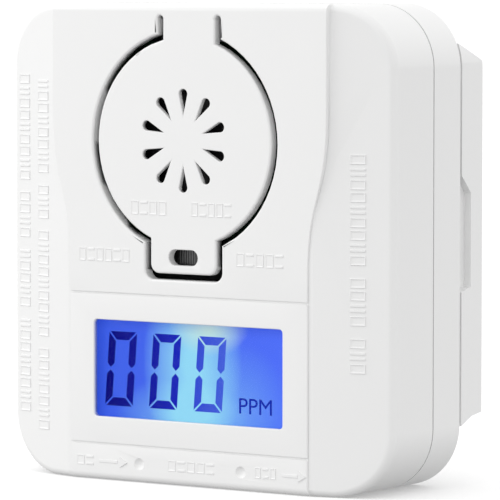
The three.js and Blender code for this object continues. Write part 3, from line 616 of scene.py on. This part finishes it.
def backlit_glass(name, display):
    """The lit glass: blue, lighter where the lamp's light gathers and along the bottom edge, with a painted highlight
    near the top and painted shadow along the top and left edges.
    """
    shader = Shader(name)
    x = shader.axis("X")
    z = shader.axis("Z")
    middle_z = (glass_low.z + glass_high.z) / 2
    along = ((x + 24 * MM) / (48 * MM)).limited()
    blue = shader.mix(along, display.left_blue[:], display.right_blue[:])

    def pool(at_x, at_z, radius_x, radius_z):
        across = (x - at_x) / radius_x
        up = (z - at_z) / radius_z
        return (1 - (across * across + up * up) ** 0.5).limited()

    column = pool(-0.6 * MM, middle_z + 1.5 * MM, 12.5 * MM, 22 * MM) ** 0.9
    low_pool = pool(-3.5 * MM, middle_z - 9.5 * MM, 17 * MM, 8 * MM)
    # painted highlight near the top of the glass
    painted_top_highlight = pool(3.5 * MM, middle_z + 9.5 * MM, 10 * MM, 6 * MM)
    fan = pool(11 * MM, middle_z - 8 * MM, 13 * MM, 15 * MM)
    glow = (1.15 * column + 0.55 * low_pool + 0.35 * fan).limited()
    lit = shader.mix(glow, blue, display.glow[:])
    # mixes in the painted highlight near the top
    lit = shader.mix((1.1 * painted_top_highlight).limited(), lit, display_colour(206, 240, 226))
    # painted shadow of the bezel along the top edge and the left edge
    shadow = ((z - (middle_z + 7.8 * MM)) / (3.2 * MM)).limited() * 0.55
    left_shadow = (1 - (x + 25.5 * MM) / (3.4 * MM)).limited() * 0.55
    lit = shader.mix(shadow, lit, display_colour(40, 62, 190))
    lit = shader.mix(left_shadow, lit, display_colour(36, 60, 190))
    return shader.set(
        Base_Color=(0.0, 0.005, 0.03),
        Roughness=0.4,
        Specular_IOR_Level=0.08,
        Emission_Color=lit,
        Emission_Strength=1.0,
    )


def lit_segment(name):
    """A dark segment through which less of the backlight shows, more towards the right."""
    shader = Shader(name)
    along = ((shader.axis("X") + 23 * MM) / (31 * MM)).limited()
    stops = [
        (0.00, display_colour(4, 6, 118)),
        (0.38, display_colour(16, 22, 160)),
        (0.62, display_colour(26, 38, 190)),
        (0.72, display_colour(52, 74, 214)),
        (1.00, display_colour(72, 100, 226)),
    ]
    return shader.set(
        Base_Color=(0.0, 0.0, 0.01),
        Roughness=0.5,
        Specular_IOR_Level=0.0,
        Emission_Color=shader.ramp(along, stops),
        Emission_Strength=1.0,
    )


def plain_light(name, value, strength):
    shader = Shader(name)
    cloud = shader.noise(1 / (6 * MM), 2)
    return shader.set(
        Base_Color=(0.6, 0.7, 0.9),
        Roughness=0.3 + 0.1 * cloud,
        Emission_Color=shader.mix(cloud, tinted(value, 0.85), value),
        Emission_Strength=strength,
    )


# ---------------------------------------------------------------- the pieces

made_materials = {}


def white_shell(shell):
    if "white" not in made_materials:
        made_materials["white"] = moulded_plastic(
            "moulded_white", shell.white[:], roughness=0.42, grain=shell.grain, spread=0.006
        )
    return made_materials["white"]


def band_slope(shell):
    return (shell.band_drop - shell.band_step) / (HALF_WIDTH - shell.band_start)


def band_envelope(shell):
    """The housing's front half without its panel: slanted bands and a rounded front edge."""
    y_middle = FACE + shell.band_step + HAIR
    low = (-HALF_WIDTH + SKIN, y_middle, SKIN)
    high = (HALF_WIDTH - SKIN, SEAM + MM, TOP - SKIN)
    bm = rounded_block(low, high, shell.outline_radius - SKIN, 24)
    slope = band_slope(shell)
    for side in (1, -1):
        cut_away(bm, (side * shell.band_start, y_middle, 0), (side * slope, -1, 0))
    bevel(bm, rim_edges(bm, SEAM, 0), shell.fillet, 7)
    return piece("band_envelope", bm)


def panel_prism(shell):
    """The centre panel: wide round the button, narrow round the display, with rounded long edges."""
    rise = shell.panel_wide - shell.panel_narrow
    steps = 14
    top = shell.panel_top - SKIN
    bottom = shell.panel_bottom - SKIN
    bm = block((-bottom, FACE - SKIN, -MM), (bottom, FACE + 3 * MM, TOP + MM))
    for step in range(steps + 1):
        t = step / steps
        # a curve that leaves and arrives straight up
        z = shell.panel_narrow + rise * (t**3 + 1.5 * t * (1 - t))
        bmesh.ops.bisect_plane(
            bm, geom=[*bm.verts, *bm.edges, *bm.faces], dist=1e-7, plane_co=(0, 0, z), plane_no=(0, 0, 1)
        )
        for vert in bm.verts:
            if abs(vert.co.z - z) < 1e-6:
                vert.co.x = math.copysign(bottom + (top - bottom) * t * t * (3 - 2 * t), vert.co.x)
    for vert in bm.verts:
        if vert.co.z > shell.panel_wide + HAIR:
            vert.co.x = math.copysign(top, vert.co.x)
    bm.normal_update()
    bevel(bm, rim_edges(bm, FACE, 0), shell.panel_edge + SKIN, 3)
    return piece("panel_prism", bm)


def panel_envelope(shell):
    """The centre panel cut to the housing's outline, with the same rounded front edge."""
    inset = SKIN + HAIR / 2
    low = (-HALF_WIDTH + inset, FACE + HAIR, inset)
    high = (HALF_WIDTH - inset, FACE + 6 * MM, TOP - inset)
    bm = rounded_block(low, high, shell.outline_radius - inset, 24)
    bevel(bm, rim_edges(bm, FACE, MM), shell.fillet, 7)
    return combine(piece("panel_envelope", bm), "INTERSECT", panel_prism(shell))


def hinge_bridge(shell):
    """Fills the cover above the button's neck, where the button's plastic runs into the cover's."""
    neck_half = 6.5 * MM
    neck_middle = 0.5 * MM
    reach = neck_half + shell.slot_width
    low = (neck_middle - reach - HAIR, FACE - SKIN, shell.hinge_line)
    high = (neck_middle + reach + HAIR, FLAP_BACK + 0.4 * MM, shell.hinge_line + MM)
    bridge = piece("bridge", block(low, high))
    round_ends = []
    for side in (1, -1):
        x = neck_middle + side * (neck_half + shell.slot_width / 2)
        bar = bar_along_y(x, shell.hinge_line, shell.slot_width / 2, FACE - MM, FLAP_BACK + MM, 32)
        round_ends.append(piece("slot_end", bar))
    return combine(bridge, "DIFFERENCE", *round_ends)


def dimples(shell):
    """Two shallow dimples in the panel by the base."""
    found = []
    for x in (-12.1 * MM, 13.5 * MM):
        bm = bmesh.new()
        bmesh.ops.create_uvsphere(bm, u_segments=24, v_segments=16, radius=shell.dimple_radius * 1.3)
        lift = shell.dimple_radius * 0.83
        bmesh.ops.translate(bm, vec=(x, FACE - lift, 3.9 * MM), verts=bm.verts)
        found.append(piece("dimple", bm))
    return found


class ALARM_OT_front_cover(bpy.types.Operator):
    """Front cover: rounded edges, slanted bands, raised panel, slots and openings"""

    bl_idname = "alarm.front_cover"
    bl_label = "Front cover"

    def execute(self, context):
        shell = context.scene.alarm_shell
        cover = merged_copy("front_cover", "front_cover_shell")
        combine(cover, "UNION", hinge_bridge(shell))
        combine(cover, "DIFFERENCE", *dimples(shell))
        envelope = combine(band_envelope(shell), "UNION", panel_envelope(shell))
        combine(cover, "INTERSECT", envelope)
        tidy_faces(cover)

        round_corners(cover, shell.corner, by_pad_corner)

        def on_face(point):
            return abs(point.x) < 27 * MM and abs(point.y - FACE) < 0.05 * MM

        def is_slot(point):
            at_hinge = abs(point.z - shell.hinge_line) < 2 * HAIR and abs(point.x - 0.5 * MM) < 6.6 * MM
            return on_face(point) and 41 * MM < point.z < TOP - 2.4 * MM and not at_hinge

        def is_display(point):
            return on_face(point) and 10 * MM < point.z < 37 * MM

        soften(cover, shell.slot_edge, 5, is_slot)
        soften(cover, shell.display_edge, 3, is_display)
        dress(shade(cover), white_shell(shell))
        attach(cover, "alarm_body")
        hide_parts("front_cover")
        return {"FINISHED"}


class ALARM_OT_test_button(bpy.types.Operator):
    """Test button: round pad, neck, tongue, sound holes and lamp window"""

    bl_idname = "alarm.test_button"
    bl_label = "Test button"

    def execute(self, context):
        shell = context.scene.alarm_shell
        flap = merged_copy("test_button", "test_button_flap")
        low = (-HALF_WIDTH, FACE + HAIR, 0)
        high = (HALF_WIDTH, SEAM, shell.hinge_line)
        combine(flap, "INTERSECT", piece("flap_room", block(low, high)))
        tidy_faces(flap)

        round_corners(flap, shell.corner, by_pad_corner)
        pad_middle = (Vector((flap_low.x, 0, 0)) + Vector((flap_high.x, 0, 0))) / 2

        def is_hole(point):
            away = Vector((point.x - pad_middle.x, 0, point.z - 71.7 * MM)).length
            lamp = abs(point.x - pad_middle.x) < 4.2 * MM and 45.4 * MM < point.z < 49.6 * MM
            return away < 13 * MM or lamp

        def on_front(point):
            return abs(point.y - FACE) < 0.05 * MM and point.z < shell.hinge_line - HAIR

        soften(flap, shell.hole_edge, 3, lambda point: on_front(point) and is_hole(point))
        soften(flap, shell.slot_edge, 5, lambda point: on_front(point) and not is_hole(point))
        dress(shade(flap), white_shell(shell))
        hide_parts("test_button")
        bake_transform(flap)
        return {"FINISHED"}


class ALARM_OT_rear_cover(bpy.types.Operator):
    """Rear cover: rounded along its seam and its back"""

    bl_idname = "alarm.rear_cover"
    bl_label = "Rear cover"

    def execute(self, context):
        shell = context.scene.alarm_shell
        cover = merged_copy("rear_cover", "rear_cover_shell")
        tidy_faces(cover)

        def on_outline(point):
            near_side = max(abs(point.x) - HALF_WIDTH, abs(point.z - TOP / 2) - TOP / 2)
            corner = Vector((max(0, abs(point.x) - HALF_WIDTH + shell.outline_radius), 0,
                             max(0, abs(point.z - TOP / 2) - TOP / 2 + shell.outline_radius)))
            outside = near_side > -0.1 * MM or corner.length > shell.outline_radius - 0.15 * MM
            return outside and min(abs(point.y - rear_low.y), abs(point.y - rear_high.y)) < HAIR

        soften(cover, shell.back_edge, 3, on_outline)
        dress(shade(cover), white_shell(shell))
        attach(cover, "alarm_body")
        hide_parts("rear_cover")
        return {"FINISHED"}


class ALARM_OT_wall_bracket(bpy.types.Operator):
    """Wall bracket: rounded along its outer edges"""

    bl_idname = "alarm.wall_bracket"
    bl_label = "Wall bracket"

    def execute(self, context):
        shell = context.scene.alarm_shell
        bracket = merged_copy("mounting_bracket", "wall_bracket_shell")
        tidy_faces(bracket)

        def on_back(point):
            return abs(point.y - bracket_high.y) < HAIR and abs(point.x) > 30 * MM

        soften(bracket, shell.back_edge, 6, on_back)
        dress(shade(bracket, math.radians(16)), white_shell(shell))
        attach(bracket, "wall_bracket")
        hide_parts("mounting_bracket")
        return {"FINISHED"}


def mark(bm, matrix, size, stroke=0):
    """Adds one small raised block, or a frame if it is given a stroke, in a place given by a matrix."""
    tile = bmesh.new()
    bmesh.ops.create_cube(tile, size=1)
    bmesh.ops.scale(tile, vec=size, verts=tile.verts)
    tile.normal_update()
    front = [edge for edge in tile.edges if all(v.co.y < 0 for v in edge.verts)]
    bevel(tile, front, min(size) * 0.25, 2)
    if stroke:
        faces = [face for face in tile.faces if face.normal.y < -0.99]
        bmesh.ops.inset_region(tile, faces=faces, thickness=stroke, depth=0, use_even_offset=True)
        bmesh.ops.translate(tile, vec=(0, size[1] * 0.9, 0), verts=list({v for f in faces for v in f.verts}))
    bmesh.ops.transform(tile, matrix=matrix, verts=tile.verts)
    mesh = bpy.data.meshes.new("tile")
    tile.to_mesh(mesh)
    tile.free()
    bm.from_mesh(mesh)
    bpy.data.meshes.remove(mesh)


def arrow(bm, x_tip, z, size, y):
    """Adds a raised arrowhead that points to the right."""
    tile = bmesh.new()
    bmesh.ops.create_cone(
        tile, cap_ends=True, segments=3, radius1=size * 0.62, radius2=size * 0.62, depth=2 * MARK_HEIGHT
    )
    turn = Matrix.Rotation(math.pi / 2, 4, "X") @ Matrix.Rotation(-math.pi / 2, 4, "Z")
    bmesh.ops.transform(tile, matrix=Matrix.Translation((x_tip - size * 0.6, y, z)) @ turn, verts=tile.verts)
    mesh = bpy.data.meshes.new("tile")
    tile.to_mesh(mesh)
    tile.free()
    bm.from_mesh(mesh)
    bpy.data.meshes.remove(mesh)


def word(bm, x_from, x_to, z_from, z_to, count):
    """A row of raised blocks that stands for a word on the flat face."""
    pitch = (x_to - x_from) / count
    gap = 0.5 * MM
    for i in range(count):
        x = x_from + (i + 0.5) * pitch
        place = Matrix.Translation((x, FACE + MARK_HEIGHT * 0.1, (z_from + z_to) / 2))
        if z_to - z_from < MM:
            mark(bm, place, (pitch - gap, MARK_HEIGHT * 1.4, z_to - z_from))
        elif i % 3 == 1:
            for side in (1, -1):
                bar = Matrix.Translation((0, 0, side * (z_to - z_from - STROKE) / 2)) @ place
                mark(bm, bar, (pitch - gap, MARK_HEIGHT * 1.4, STROKE))
        else:
            mark(bm, place, (pitch - gap, MARK_HEIGHT * 1.4, z_to - z_from), STROKE)


def band_row(bm, shell, x, z_from, words):
    """A row of raised blocks up a band; words gives the number of blocks in each group."""
    slope = math.atan(band_slope(shell)) * math.copysign(1, x)
    y = FACE + shell.band_step + band_slope(shell) * (abs(x) - shell.band_start)
    high = 1.9 * MM
    pitch = 2.55 * MM
    z = z_from
    for count in words:
        for i in range(count):
            place = Matrix.Translation((x, y, z + high / 2)) @ Matrix.Rotation(slope, 4, "Z")
            if i % 3 == 1:
                for side in (1, -1):
                    bar = Matrix.Translation((x, y, z + high / 2 + side * 0.55 * MM)) @ Matrix.Rotation(slope, 4, "Z")
                    mark(bm, bar, (3.3 * MM, MARK_HEIGHT * 1.6, STROKE))
            else:
                mark(bm, place, (3.3 * MM, MARK_HEIGHT * 1.6, high), STROKE)
            z += pitch
        z += pitch * 0.8


class ALARM_OT_raised_marks(bpy.types.Operator):
    """Raised marks on the bands, the face and the test button"""

    bl_idname = "alarm.raised_marks"
    bl_label = "Raised marks"

    def execute(self, context):
        shell = context.scene.alarm_shell
        on_cover = bmesh.new()
        word(on_cover, -27.7 * MM, -14.3 * MM, 46.1 * MM, 48.8 * MM, 6)
        word(on_cover, 12.2 * MM, 24.2 * MM, 46.3 * MM, 49.0 * MM, 5)
        word(on_cover, -28.4 * MM, -23.6 * MM, 3.0 * MM, 5.0 * MM, 2)
        word(on_cover, -22.6 * MM, -17.4 * MM, 3.7 * MM, 4.3 * MM, 1)
        arrow(on_cover, -15.2 * MM, 4.0 * MM, 2.0 * MM, FACE)
        word(on_cover, -5.0 * MM, 7.1 * MM, 3.0 * MM, 5.2 * MM, 5)
        word(on_cover, 16.8 * MM, 22.4 * MM, 3.0 * MM, 5.2 * MM, 3)
        word(on_cover, 23.4 * MM, 27.8 * MM, 3.7 * MM, 4.3 * MM, 1)
        arrow(on_cover, 29.5 * MM, 4.0 * MM, 2.0 * MM, FACE)
        band_row(on_cover, shell, -44.3 * MM, 13 * MM, (8, 5, 4, 9))
        band_row(on_cover, shell, -38.4 * MM, 9.5 * MM, (7, 9, 3, 8))
        band_row(on_cover, shell, 40.3 * MM, 25.5 * MM, (3, 4, 9))
        cover_marks = piece("cover_marks", on_cover)
        dress(shade(cover_marks), white_shell(shell))
        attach(cover_marks, "alarm_body")
        on_button = bmesh.new()
        word(on_button, -14.3 * MM, -4.9 * MM, 56.2 * MM, 59.0 * MM, 4)
        word(on_button, 1.0 * MM, 11.4 * MM, 56.2 * MM, 59.0 * MM, 5)
        button_marks = piece("button_marks", on_button)
        dress(shade(button_marks), white_shell(shell))
        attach(button_marks, "test_flap")
        return {"FINISHED"}


def segment(bm, display, x_from, x_to, z_from, z_to, outer, pointed):
    """Adds one bar of a digit; outer names the sides whose corners are mitred, pointed the ends that taper."""
    tile = block((x_from, GLASS_FACE - 0.06 * MM, z_from), (x_to, GLASS_FACE - HAIR, z_to))
    for point, normal in outer + pointed:
        cut_away(tile, point, normal)
    mesh = bpy.data.meshes.new("tile")
    tile.to_mesh(mesh)
    tile.free()
    bm.from_mesh(mesh)
    bpy.data.meshes.remove(mesh)


def zero_digit(bm, display, x, z_low):
    """A zero of six bars with mitred corners."""
    half = display.digit_width / 2
    height = display.digit_height
    stroke = display.stroke
    split = display.split
    middle = z_low + height / 2
    for up in (1, -1):
        corner_z = middle + up * height / 2
        bar_z = sorted((corner_z, corner_z - up * stroke))
        cuts = []
        for side in (1, -1):
            inset = Vector((x + side * (half - split), 0, corner_z))
            cuts.append((inset, (side, 0, -up)))
        segment(bm, display, x - half, x + half, bar_z[0], bar_z[1], cuts, [])
        for side in (1, -1):
            corner_x = x + side * half
            bar_x = sorted((corner_x, corner_x - side * stroke))
            corner = (Vector((corner_x, 0, corner_z - up * split)), (-side, 0, up))
            tip = Vector((corner_x - side * stroke / 2, 0, middle + up * split))
            points = [(tip, (1, 0, -up)), (tip, (-1, 0, -up))]
            ends = sorted((middle, corner_z))
            segment(bm, display, bar_x[0], bar_x[1], ends[0], ends[1], [corner], points)


def unit_legend(height, left, right, low):
    """The unit legend, as a mesh."""
    text = bpy.data.curves.new("unit_legend", "FONT")
    text.body = "PPM"
    text.size = 1
    text.extrude = 0.01
    holder = bpy.data.objects.new("unit_legend_text", text)
    bpy.context.scene.collection.objects.link(holder)
    bpy.context.view_layer.update()
    mesh = bpy.data.meshes.new_from_object(holder.evaluated_get(bpy.context.evaluated_depsgraph_get()))
    bpy.data.objects.remove(holder)
    bm = bmesh.new()
    bm.from_mesh(mesh)
    bmesh.ops.remove_doubles(bm, verts=bm.verts, dist=1e-5)
    xs = [v.co.x for v in bm.verts]
    ys = [v.co.y for v in bm.verts]
    scale_x = (right - left) / (max(xs) - min(xs))
    scale_z = height / (max(ys) - min(ys))
    bmesh.ops.translate(bm, vec=(-min(xs), -min(ys), 0), verts=bm.verts)
    bmesh.ops.scale(bm, vec=(scale_x, scale_z, 2.5 * MM), verts=bm.verts)
    bmesh.ops.rotate(bm, matrix=Matrix.Rotation(math.pi / 2, 3, "X"), verts=bm.verts)
    bmesh.ops.translate(bm, vec=(left, GLASS_FACE - 0.035 * MM, low), verts=bm.verts)
    return bm


class ALARM_OT_readout(bpy.types.Operator):
    """Display: lit glass, three digits and unit legend"""

    bl_idname = "alarm.readout"
    bl_label = "Readout"

    def execute(self, context):
        display = context.scene.alarm_display
        dress(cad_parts["lcd_glass"], backlit_glass("backlit_glass", display))
        digits = bmesh.new()
        z_low = 15.5 * MM
        for x in (-18.75 * MM, -7.45 * MM, 3.9 * MM):
            zero_digit(digits, display, x, z_low)
        middle = z_low + display.digit_height / 2
        lean = math.tan(display.lean)
        for vert in digits.verts:
            vert.co.x += lean * (vert.co.z - middle)
        segments = piece("lcd_digits", digits)
        dress(segments, lit_segment("lit_segment"))
        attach(segments, "alarm_body")
        legend = piece("lcd_unit_legend", unit_legend(3.2 * MM, 11.2 * MM, 19.3 * MM, 15.7 * MM))
        shader = Shader("legend_blue")
        cloud = shader.noise(1 / (2 * MM), 2)
        dress(
            legend,
            shader.set(
                Base_Color=(0, 0, 0.01),
                Roughness=0.5,
                Specular_IOR_Level=0.0,
                Emission_Color=shader.mix(cloud, display_colour(22, 44, 170), display_colour(30, 52, 184)),
                Emission_Strength=1.0,
            ),
        )
        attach(legend, "alarm_body")
        return {"FINISHED"}


class ALARM_OT_lamp_hood(bpy.types.Operator):
    """Black hood with a ribbed smoked front round the two lamps, and a black sheet of painted shade in front of the
    board, behind the tongue's end
    """

    bl_idname = "alarm.lamp_hood"
    bl_label = "Lamp hood"

    def execute(self, context):
        low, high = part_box("led_holder")
        lamp_low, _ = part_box("operate_led")
        wall = 0.35 * MM
        front = lamp_low.y - wall
        outer = block((low.x - wall, front, low.z - wall), (high.x + wall, high.y, high.z + wall))
        bevel(outer, edges_along(outer, 1), 0.4 * MM, 2)
        hood = piece("lamp_hood", outer)
        room = block(
            (low.x + 0.2 * MM, front - MM, low.z + 0.2 * MM), (high.x - 0.2 * MM, high.y - MM, high.z - 0.2 * MM)
        )
        combine(hood, "DIFFERENCE", piece("room", room))
        for name in ("operate_led", "alarm_led"):
            lamp_low, lamp_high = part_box(name)
            middle = (lamp_low + lamp_high) / 2
            reach = (lamp_high.x - lamp_low.x) / 2 + 0.1 * MM
            hole = bar_along_y(middle.x, middle.z, reach, front, high.y - 0.5 * MM)
            combine(hood, "DIFFERENCE", piece("lamp_hole", hole))
        dress(shade(hood), moulded_plastic("hood_black", (0.012, 0.012, 0.013), 0.4, 0.2))
        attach(hood, "alarm_body")
        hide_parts("led_holder")

        lens = bmesh.new()
        count = 11
        pitch = (high.x - low.x - 0.5 * MM) / count
        start = low.x + 0.25 * MM
        for i in range(count):
            x = start + (i + 0.5) * pitch
            half = pitch / 2 - HAIR
            ridge = block(
                (x - half, front - 0.30 * MM, low.z + 0.25 * MM), (x + half, front + wall - 0.05 * MM, high.z - 0.25 * MM)
            )
            top = [edge for edge in edges_along(ridge, 2) if edge.verts[0].co.y < front]
            bevel(ridge, top, 0.15 * MM, 2)
            mesh = bpy.data.meshes.new("ridge")
            ridge.to_mesh(mesh)
            ridge.free()
            lens.from_mesh(mesh)
            bpy.data.meshes.remove(mesh)
        lens = piece("lamp_lens", lens)
        dress(shade(lens), smoked_plastic("smoked_lens"))
        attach(lens, "alarm_body")

        board_low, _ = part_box("main_board")
        holder_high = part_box("lcd_holder")[1]
        switch_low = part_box("test_switch_body")[0]
        # a black sheet of painted shade in front of the board, seen through the slots and the gap round the tongue
        shade_sheet = block(
            (flap_low.x, board_low.y - 0.6 * MM, holder_high.z + 0.3 * MM),
            (-flap_low.x, board_low.y - 0.15 * MM, switch_low.z - 0.3 * MM),
        )
        bevel(shade_sheet, edges_along(shade_sheet, 1), MM, 3)
        shade_sheet = piece("painted_shade_sheet", shade_sheet)
        room = block(
            (low.x - wall - 0.1 * MM, high.y - 2 * MM, low.z - wall - 0.1 * MM),
            (high.x + wall + 0.1 * MM, high.y + 2 * MM, high.z + wall + 0.1 * MM),
        )
        combine(shade_sheet, "DIFFERENCE", piece("room", room))
        dress(shade(shade_sheet), moulded_plastic("painted_shade_black", (0.010, 0.010, 0.011), 0.85, 0.3))
        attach(shade_sheet, "alarm_body")
        return {"FINISHED"}


class ALARM_OT_inner_parts(bpy.types.Operator):
    """Finishes of the parts inside, which keep their solid shapes"""

    bl_idname = "alarm.inner_parts"
    bl_label = "Inner parts"

    def execute(self, context):
        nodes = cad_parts
        white = moulded_plastic("inner_white", (0.70, 0.70, 0.68), 0.5, 0.2)
        black = moulded_plastic("inner_black", (0.016, 0.016, 0.018), 0.45, 0.3)
        rubber = moulded_plastic("contact_rubber", (0.020, 0.020, 0.022), 0.75, 0.4, 0.2 * MM)
        steel = brushed_metal("can_steel", (0.56, 0.57, 0.58), 0.28)
        zinc = brushed_metal("screw_zinc", (0.52, 0.53, 0.54), 0.32, (6, 1, 6), 0.5 * MM)
        nickel = brushed_metal("contact_nickel", (0.62, 0.60, 0.54), 0.22, (1, 1, 8), 0.4 * MM)
        brass = brushed_metal("sounder_brass", (0.60, 0.42, 0.14), 0.3)
        aluminium = brushed_metal("capacitor_aluminium", (0.62, 0.63, 0.64), 0.26)
        finishes = {
            "lcd_holder": white,
            "co_sensor_cap": white,
            "power_switch_plunger": white,
            "zebra_strip": rubber,
            "main_board": circuit_board("circuit_board"),
            "co_sensor_can": steel,
            "crystal": steel,
            "piezo_disc": brass,
            "capacitor_1": aluminium,
            "capacitor_2": aluminium,
            "coil_winding": wound_copper("coil_wire"),
            "operate_led": lamp_plastic("green_lamp", (0.05, 0.50, 0.12)),
            "alarm_led": lamp_plastic("red_lamp", (0.55, 0.03, 0.02)),
            "battery_lead_red": moulded_plastic("red_lead", (0.45, 0.012, 0.012), 0.35, 0.1),
            "battery_lead_black": moulded_plastic("black_lead", (0.012, 0.012, 0.012), 0.35, 0.1),
            "display_window": clear_plastic("clear_window", (0.02, 0.025, 0.03), 0.05),
            "backlight_guide": plain_light("light_guide", (0.45, 0.60, 1.0), 0.6),
            "backlight_led": plain_light("backlight_lamp", (0.40, 0.55, 1.0), 2.0),
        }
        for name in ("sounder_housing", "test_switch_body", "power_switch_body", "control_chip", "coil_bobbin"):
            finishes[name] = black
        for name in nodes:
            if "screw" in name:
                finishes[name] = zinc
            elif name.startswith(("battery_spring", "co_sensor_pin", "contact_bridge")):
                finishes[name] = nickel
        for name in ("positive_terminal", "negative_terminal", "test_switch_plunger"):
            finishes[name] = nickel
        for i in (1, 2, 3):
            name = f"battery_cell_{i}"
            low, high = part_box(name)
            ends = (low.z, high.z) if i != 2 else (high.z, low.z)
            finishes[name] = cell_sleeve(f"cell_sleeve_{i}", (0.06, 0.09, 0.12), *ends)
        for name, material in finishes.items():
            dress(nodes[name], material)
        return {"FINISHED"}


# ---------------------------------------------------------------- stage


def aim(thing, target):
    """Turns a light or camera towards a point."""
    way = Vector(target) - thing.location
    thing.rotation_mode = "QUATERNION"
    thing.rotation_quaternion = way.to_track_quat("-Z", "Y")


def soft_light(name, location, target, size, power):
    data = bpy.data.lights.new(name, "AREA")
    data.shape = "DISK"
    data.size = size
    data.energy = power
    lamp = bpy.data.objects.new(name, data)
    lamp.location = location
    bpy.context.scene.collection.objects.link(lamp)
    aim(lamp, target)
    return lamp


def floor(studio):
    bm = bmesh.new()
    bmesh.ops.create_circle(bm, cap_ends=True, segments=96, radius=40)
    made = piece("floor", bm)
    shader = Shader("pale_floor")
    speck = shader.noise(20, 2)
    base = studio.floor[:]
    material = shader.set(
        Base_Color=shader.mix(speck, tinted(base, 0.99), base),
        Roughness=0.9,
        Emission_Color=(1, 1, 1),
        Emission_Strength=0.12,
    )
    dress(made, material)
    made.visible_diffuse = False


def sky(studio):
    """Even light from all round, weaker from below the floor's edge."""
    world = bpy.data.worlds.new("soft_sky")
    world.use_nodes = True
    tree = world.node_tree
    place = tree.nodes.new("ShaderNodeTexCoord")
    split = tree.nodes.new("ShaderNodeSeparateXYZ")
    fade = tree.nodes.new("ShaderNodeMapRange")
    for name, value in (("From Min", -0.75), ("From Max", 0.0), ("To Min", 0.30), ("To Max", 1.0)):
        fade.inputs[name].default_value = value
    tree.links.new(place.outputs["Generated"], split.inputs["Vector"])
    tree.links.new(split.outputs["Z"], fade.inputs["Value"])
    strength = tree.nodes.new("ShaderNodeMath")
    strength.operation = "MULTIPLY"
    strength.inputs[1].default_value = studio.sky
    background = tree.nodes["Background"]
    background.inputs["Color"].default_value = (1, 1, 1, 1)
    tree.links.new(fade.outputs["Result"], strength.inputs[0])
    tree.links.new(strength.outputs["Value"], background.inputs["Strength"])
    return world


class ALARM_OT_stage(bpy.types.Operator):
    """Pale floor, soft lights and the camera"""

    bl_idname = "alarm.stage"
    bl_label = "Stage"

    def execute(self, context):
        studio = context.scene.alarm_studio
        scene = context.scene
        floor(studio)
        scene.world = sky(studio)
        soft_light("key_light", (-0.50, -0.36, 0.32), (0, 0, 0.05), 0.4, studio.key)
        data = bpy.data.cameras.new("camera")
        data.sensor_width = 36
        data.lens = studio.lens
        camera = bpy.data.objects.new("camera", data)
        camera.location = (0.4901, -0.7217, 0.1065)
        scene.collection.objects.link(camera)
        aim(camera, (0.0109, -0.0120, 0.0492))
        scene.camera = camera
        scene.view_settings.view_transform = "Standard"
        return {"FINISHED"}


# ---------------------------------------------------------------- add-on

OPERATORS = (
    ALARM_OT_front_cover,
    ALARM_OT_test_button,
    ALARM_OT_rear_cover,
    ALARM_OT_wall_bracket,
    ALARM_OT_raised_marks,
    ALARM_OT_readout,
    ALARM_OT_lamp_hood,
    ALARM_OT_inner_parts,
    ALARM_OT_stage,
)

SETTINGS = {
    "alarm_shell": AlarmShellSettings,
    "alarm_display": AlarmDisplaySettings,
    "alarm_studio": AlarmStudioSettings,
}


class ALARM_PT_panel(bpy.types.Panel):
    """The alarm's pieces and their settings"""

    bl_label = "Carbon monoxide alarm"
    bl_idname = "ALARM_PT_panel"
    bl_space_type = "VIEW_3D"
    bl_region_type = "UI"
    bl_category = "Alarm"

    def draw(self, context):
        for operator in OPERATORS:
            self.layout.operator(operator.bl_idname)
        for name, group in SETTINGS.items():
            box = self.layout.box()
            for prop in group.__annotations__:
                box.prop(getattr(context.scene, name), prop)


def register():
    for group in SETTINGS.values():
        bpy.utils.register_class(group)
    for operator in OPERATORS:
        bpy.utils.register_class(operator)
    bpy.utils.register_class(ALARM_PT_panel)
    for name, group in SETTINGS.items():
        setattr(bpy.types.Scene, name, bpy.props.PointerProperty(type=group))


def unregister():
    for name in SETTINGS:
        delattr(bpy.types.Scene, name)
    bpy.utils.unregister_class(ALARM_PT_panel)
    for operator in reversed(OPERATORS):
        bpy.utils.unregister_class(operator)
    for group in reversed(SETTINGS.values()):
        bpy.utils.unregister_class(group)


def main():
    register()
    for operator in OPERATORS:
        group, name = operator.bl_idname.split(".")
        getattr(getattr(bpy.ops, group), name)()


if __name__ == "__main__":
    main()
